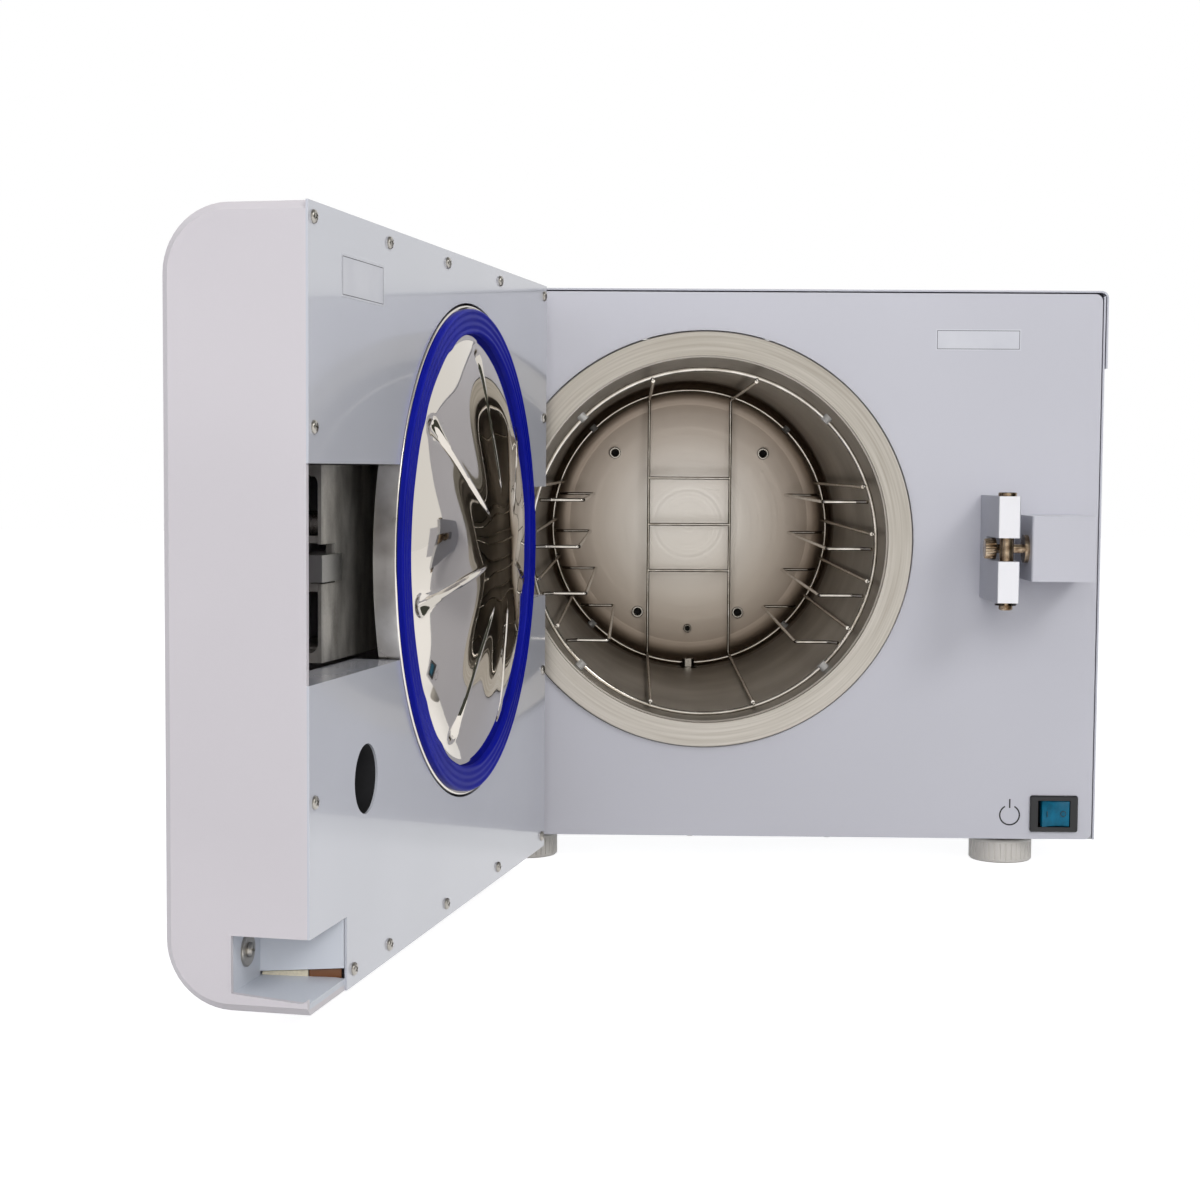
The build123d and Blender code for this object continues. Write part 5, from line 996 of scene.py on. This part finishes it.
class AUTOCLAVE_OT_power_switch(bpy.types.Operator):
    """Model the rocker with its marks, and print the power sign beside it"""
    bl_idname = "autoclave.power_switch"
    bl_label = "Power switch"

    def execute(self, context):
        low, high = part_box("switch_bezel")
        pivot = Vector(((low.x + high.x) / 2, PANEL_LOW.y + 4 * MM, (low.z + high.z) / 2))
        tilt = turn_about(pivot, radians(8))
        rocker = rocker_body(pivot)
        rocker.data.transform(tilt)
        finish = clear_blue(context.scene.autoclave_colours.rocker)
        place(rocker, finish, "rocker", ["switch_rocker"], "switch_blue")
        marks = rocker_marks(pivot)
        marks.data.transform(tilt)
        place(marks, printed_ink("dark_switch_print", "#1C4452"), "rocker")
        place(power_sign(), printed_ink("black_screen_print", "#16161A"), "cabinet")
        return {"FINISHED"}


def blank_label(name, low, high, outward):
    """A blank label with a thin printed border, between two corners, on a face that looks along Y."""
    thick, inset, line, proud = 0.12 * MM, 0.9 * MM, 0.35 * MM, 0.03 * MM
    top = low.y + thick * outward
    near, far = sorted((low.y, top))
    film = rounded_block(name, Vector((low.x, near, low.z)), Vector((high.x, far, high.z)), 0.04 * MM, 1)
    near, far = sorted((top, top + proud * outward))
    left, right, bottom, upper = low.x + inset, high.x - inset, low.z + inset, high.z - inset
    bars = [(left, right, bottom, bottom + line), (left, right, upper - line, upper),
            (left, left + line, bottom, upper), (right - line, right, bottom, upper)]
    border = [rounded_block(name + "_line", Vector((x0, near, z0)), Vector((x1, far, z1)), 0.01 * MM, 1)
              for x0, x1, z0, z1 in bars]
    return film, join(border, name + "_border")


class AUTOCLAVE_OT_labels(bpy.types.Operator):
    """Stick a blank label on the front panel and one on the door's inner cover"""
    bl_idname = "autoclave.labels"
    bl_label = "Blank labels"

    def execute(self, context):
        film, ink = label_film(), printed_ink("grey_label_print", "#4A4A50")
        label, border = blank_label("panel_label", AXIS + Vector((155, 0, 129.4)) * MM,
                                    AXIS + Vector((212.5, 0, 143.8)) * MM, -1)
        place(label, film, "cabinet")
        place(border, ink, "cabinet")
        label, border = blank_label("door_label", shut_door(339 * MM, 0, 128 * MM),
                                    shut_door(401 * MM, 0, 148 * MM), 1)
        place(swing_open(label), film, "door")
        place(swing_open(border), ink, "door")
        return {"FINISHED"}


class AUTOCLAVE_OT_notch_parts(bpy.types.Operator):
    """Put the harness tape and the connector behind the gap of the door's notch"""
    bl_idname = "autoclave.notch_parts"
    bl_label = "Parts behind the notch"

    def execute(self, context):
        # Both lie on the slanted wall of the notch, low down
        above_axis, proud = -196.6 * MM, 2.6 * MM
        back = shut_door(409.4 * MM, 38.5 * MM, above_axis)
        front = shut_door(394.6 * MM, 1.5 * MM, above_axis)
        along = front - back
        turn = Matrix.Rotation(atan2(along.y, along.x), 4, "Z")
        tape = printed_ink("cream_woven_tape", "#D9D0B8")
        plug = moulded_plastic("brown_nylon_connector", "#7A4A22", "#5C3618")
        lengths = (("harness_tape", tape, 0.0, 0.55), ("harness_connector", plug, 0.56, 0.95))
        for name, finish, start, end in lengths:
            half = Vector((along.length * (end - start) / 2, 0.8 * MM, 2.6 * MM))
            block = rounded_block(name, -half, half, 0.3 * MM)
            spot = back + along * (start + end) / 2 - ALONG_X * proud
            block.data.transform(Matrix.Translation(spot) @ turn)
            place(swing_open(block), finish, "door")
        return {"FINISHED"}


class AUTOCLAVE_OT_bushes(bpy.types.Operator):
    """Turn the flanged bushes of the chamber's back wall, each with its bore painted near black as shade"""
    bl_idname = "autoclave.bushes"
    bl_label = "Back wall bushes"

    def execute(self, context):
        bore_depth, lip, flange = 12 * MM, 0.5 * MM, 3 * MM
        bushes, bores = [], []
        for low, high in loose_boxes("back_wall_bushes"):
            rim, length = (high.x - low.x) / 2, high.y - low.y
            bore, stem = rim * 0.66, rim * 0.68
            profile = [(0, bore_depth), (bore, bore_depth), (bore, lip), (bore + lip, 0), (rim - lip, 0),
                       (rim, lip), (rim, flange), (stem, flange), (stem, length), (0, length)]
            front = Vector(((low.x + high.x) / 2, low.y, (low.z + high.z) / 2))
            bush = turned_piece("bush", profile, front, ALONG_Y, 36)
            smooth(bush, 30)
            bushes.append(bush)
            bores.append((front, bore))
        turned = join(bushes, "wall_bushes")
        place(turned, bright_metal("turned_stainless_bush", "#BDB8B0", 0.22), "cabinet", ["back_wall_bushes"],
              "bright_steel")
        # The faces inside each bore get a near-black finish: painted shade for the dark holes
        second_finish(turned, painted_bore_shade(), lambda spot: any(
            hypot(spot.x - front.x, spot.z - front.z) < bore and spot.y < front.y + bore_depth + MM
            for front, bore in bores))
        return {"FINISHED"}


class AUTOCLAVE_OT_rack_beads(bpy.types.Operator):
    """Add the weld beads where the rack's rods meet its rings"""
    bl_idname = "autoclave.rack_beads"
    bl_label = "Rack weld beads"

    def execute(self, context):
        radius = context.scene.autoclave_sizes.bead_radius
        outside = 1.3 * MM
        rings = loose_boxes("rack_rings")
        beads = []
        for rod_low, rod_high in loose_boxes("rack_rods"):
            rod = (rod_low + rod_high) / 2
            for ring_low, ring_high in rings:
                hub = (ring_low + ring_high) / 2
                outward = Vector((rod.x - hub.x, 0, rod.z - hub.z)).normalized()
                spot = Vector((rod.x, hub.y, rod.z)) + outward * outside
                clear_selection()
                bpy.ops.mesh.primitive_uv_sphere_add(segments=16, ring_count=10, radius=radius, location=spot,
                                                     scale=(0.8, 1.25, 0.8))
                beads.append(finish_mesh(bpy.context.object))
        welds = join(beads, "rack_welds")
        smooth(welds, 60)
        place(welds, bright_wire(), "cabinet", slot="rack_wire")
        return {"FINISHED"}


class AUTOCLAVE_OT_finishes(bpy.types.Operator):
    """Give every CAD piece the finish of the real one"""
    bl_idname = "autoclave.finishes"
    bl_label = "Finishes"

    def execute(self, context):
        colours = context.scene.autoclave_colours
        paint = powder_coat("panel_powder_coat", colours.paint)
        side_paint = powder_coat("casing_powder_coat", "#C8C9D2")
        foot = moulded_plastic("white_nylon_foot", "#D6D2CC", "#C8C4BE", 0.7, 0.02, 0.4)
        shell = moulded_plastic("door_shell_plastic", colours.door, None, 1.1, 0.03, 0.42)
        vessel, flange = satin_vessel_steel(), turned_flange_steel()
        wire = bright_wire()
        steel = bright_metal("polished_stainless_fitting", "#BDB8B0", 0.22)
        nickel = worn_nickel()
        brass = machined_brass("turned_brass", "#B39C6C", "#8E7A50")
        copper = machined_brass("drawn_copper", "#B87850", "#8F5638")
        black = black_mould("black_nylon_moulding", 0.45)
        zinc = milled_steel("galvanised_sheet", "#9EA0A2")
        rubber = rubber_pad()
        white_tank = moulded_plastic("natural_polyethylene_tank", "#DAD9D2", "#CBCAC2", 2.0, 0.05, 0.5)
        laminate = circuit_laminate()
        finishes = {
            "front_panel": paint, "lock_box": paint,
            "left_side_panel": side_paint, "right_side_panel": side_paint, "top_cover": side_paint,
            "rear_panel": side_paint, "base_pan": zinc, "chamber_saddles": zinc, "heater_bands": steel,
            "front_foot_left": foot, "front_foot_right": foot, "rear_feet": rubber,
            "chamber_vessel": vessel, "chamber_flange": flange, "drain_fitting": steel,
            "rack_rings": wire, "rack_rods": wire, "rack_tray_loops": wire, "rack_ladder": wire,
            "rack_spacers": moulded_plastic("clear_silicone_spacer", "#B8B6B2", "#A8A6A2", 0.7, 0.01, 0.3),
            "catch_clevis": painted_block(), "catch_pin": nickel, "lock_solenoid": nickel,
            "catch_clip": bright_metal("blackened_spring_steel", "#3C3834", 0.35),
            "switch_bezel": black, "hinge_bracket": milled_steel("milled_steel_bracket", "#8F8F90"),
            "hinge_pin": steel, "door_shell": shell, "door_inner_cover": gloss_sheet(),
            "door_notch_liner": moulded_plastic("pale_blue_liner", "#D3D7DE", "#C6CAD2", 0.9, 0.02, 0.4),
            # The port cup is finished black: painted shade for the dark hole in the door
            "door_port_cup": black_mould("port_cup_painted_shade", 0.7), "door_crossbar": cast_aluminium(),
            "latch_tongue": milled_steel("milled_tongue_steel", "#A3A3A1"), "latch_pinion": steel,
            "door_handle": moulded_plastic("grey_handle_plastic", "#6E7178", "#62656C", 0.9, 0.03, 0.42),
            "control_board": laminate, "power_board": laminate, "display_window": smoked_window(),
            "key_program": moulded_plastic("grey_key_plastic", "#8C9098", "#82868E", 0.6, 0.01, 0.35),
            "key_start": moulded_plastic("green_key_plastic", "#3C8E52", "#337C47", 0.6, 0.01, 0.35),
            "key_stop": moulded_plastic("red_key_plastic", "#B23A35", "#9C302C", 0.6, 0.01, 0.35),
            "water_tank": white_tank, "tank_lid": moulded_plastic("lid_plastic", "#C9CAD0", "#BDBEC4"),
            "steam_generator": steel, "vacuum_pump": cast_aluminium(), "fan_frame": black, "fan_rotor": black,
            "condenser": bright_metal("rolled_fin_aluminium", "#B5B6B8", 0.4), "valve_block": brass,
            "safety_valve": brass, "air_filter": moulded_plastic("filter_housing", "#E0DFDA", "#D0CFCA"),
            "power_inlet": black, "pipework": copper,
        }
        # A node without a finish here has a new piece in its place
        for name, finish in finishes.items():
            for slot in frame["nodes"][name].material_slots:
                slot.material = finish
        return {"FINISHED"}


def lamp(name, spot, target, size, watts, colour, mirrored=False):
    """A square soft light aimed at a point. Polished surfaces show it only if it is mirrored."""
    bpy.ops.object.light_add(type="AREA", location=spot)
    light = bpy.context.object
    light.name = name
    light.data.shape = "SQUARE"
    light.data.size = size
    light.data.energy = watts
    light.data.color = linear(colour)[:3]
    light.rotation_euler = (Vector(target) - Vector(spot)).to_track_quat("-Z", "Y").to_euler()
    light.visible_glossy = mirrored


def reflector(name, spot, size, turn, strength, colour="#F4F2EE"):
    """A screen that only polished surfaces reflect, as the pale cards of a product studio."""
    clear_selection()
    bpy.ops.mesh.primitive_plane_add(size=1, location=spot, rotation=[radians(angle) for angle in turn])
    screen = bpy.context.object
    screen.name = name
    screen.scale = (size[0], size[1], 1)
    screen.data.materials.append(grey_screen(strength, colour))
    for kind in ("camera", "diffuse", "shadow", "transmission", "volume_scatter"):
        setattr(screen, "visible_" + kind, False)


def studio_floor():
    """The paper sweep that the feet stand on."""
    clear_selection()
    bpy.ops.mesh.primitive_plane_add(size=14, location=(0, 0, 0))
    floor = bpy.context.object
    floor.name = "studio_floor"
    floor.data.materials.append(white_floor())


def white_room():
    """A room that looks white, and lights the object with less than half of that."""
    world = bpy.data.worlds.new("white_room")
    world.use_nodes = True
    world.node_tree.nodes.clear()
    level = add(world, "ShaderNodeMapRange", {"To Min": 0.42, "To Max": 1.0}, {"Value": looked_at(world)})
    sky = add(world, "ShaderNodeBackground", {"Color": linear("#FFFFFF")},
              {"Strength": level.outputs["Result"]})
    add(world, "ShaderNodeOutputWorld", links={"Surface": sky.outputs["Background"]})
    return world


def photo_camera():
    """The camera fitted to the photograph: 1.4 m away, a little to the left and above, looking down."""
    bpy.ops.object.camera_add()
    camera = bpy.context.object
    camera.name = "photo_camera"
    camera.data.sensor_width = 36
    camera.data.sensor_fit = "HORIZONTAL"
    camera.data.lens = 61.48
    camera.data.clip_start = 0.05
    pan, dip, roll = 0.0168, 0.0640, 0.0070
    aim = (Matrix.Rotation(pan, 4, "Z") @ Matrix.Rotation(radians(90) - dip, 4, "X")
           @ Matrix.Rotation(roll, 4, "Z"))
    camera.matrix_world = Matrix.Translation(AXIS + Vector((-47.24, -1396.80, 48.02)) * MM) @ aim
    return camera


class AUTOCLAVE_OT_studio(bpy.types.Operator):
    """Set a white room: floor, reflecting cards, soft lights and the camera"""
    bl_idname = "autoclave.studio"
    bl_label = "Studio"

    def execute(self, context):
        scene = context.scene
        studio_floor()
        reflector("front_screen", (0.1, -3.3, 0.9), (4.6, 2.6), (90, 0, 0), 0.85)
        reflector("ceiling_screen", (0.0, -0.8, 2.2), (3.6, 3.6), (0, 0, 0), 0.30)
        reflector("soft_card", (-0.05, -2.2, 0.3), (0.8, 0.8), (90, 0, 0), 1.6)
        reflector("right_screen", (1.5, -1.0, 0.65), (1.5, 2.6), (0, 90, 0), 0.12, "#C8D0C0")
        scene.world = white_room()
        middle = (0.0, -0.1, 0.22)
        lamp("key_light", (1.5, -2.1, 1.9), middle, 1.0, 24, "#FFFFFF", True)
        lamp("fill_light", (-1.7, -1.9, 1.1), middle, 1.6, 11, "#F4F6FF")
        lamp("front_light", (0.1, -2.6, 0.75), middle, 0.9, 13, "#FFFFFF")
        lamp("top_light", (-0.2, -0.2, 2.4), middle, 1.6, 10, "#FFFFFF")
        scene.camera = photo_camera()
        scene.view_settings.view_transform = "Standard"
        return {"FINISHED"}


class AUTOCLAVE_PT_panel(bpy.types.Panel):
    """Lists the autoclave's pieces in the sidebar"""
    bl_label = "Autoclave"
    bl_space_type = "VIEW_3D"
    bl_region_type = "UI"
    bl_category = "Autoclave"

    def draw(self, context):
        layout = self.layout
        for group in (context.scene.autoclave_sizes, context.scene.autoclave_colours):
            for name in group.__annotations__:
                layout.prop(group, name)
        for step in STEPS:
            layout.operator(step.bl_idname)


STEPS = (AUTOCLAVE_OT_pressure_disc, AUTOCLAVE_OT_gasket, AUTOCLAVE_OT_screws, AUTOCLAVE_OT_lock_bolt,
         AUTOCLAVE_OT_power_switch, AUTOCLAVE_OT_labels, AUTOCLAVE_OT_notch_parts, AUTOCLAVE_OT_bushes,
         AUTOCLAVE_OT_rack_beads, AUTOCLAVE_OT_finishes, AUTOCLAVE_OT_studio)
CLASSES = (AutoclaveSizes, AutoclaveColours) + STEPS + (AUTOCLAVE_PT_panel,)


def register():
    for item in CLASSES:
        bpy.utils.register_class(item)
    bpy.types.Scene.autoclave_sizes = PointerProperty(type=AutoclaveSizes)
    bpy.types.Scene.autoclave_colours = PointerProperty(type=AutoclaveColours)


def unregister():
    del bpy.types.Scene.autoclave_colours
    del bpy.types.Scene.autoclave_sizes
    for item in reversed(CLASSES):
        bpy.utils.unregister_class(item)


def main():
    register()
    for step in STEPS:
        group, name = step.bl_idname.split(".")
        getattr(getattr(bpy.ops, group), name)()


if __name__ == "__main__":
    main()
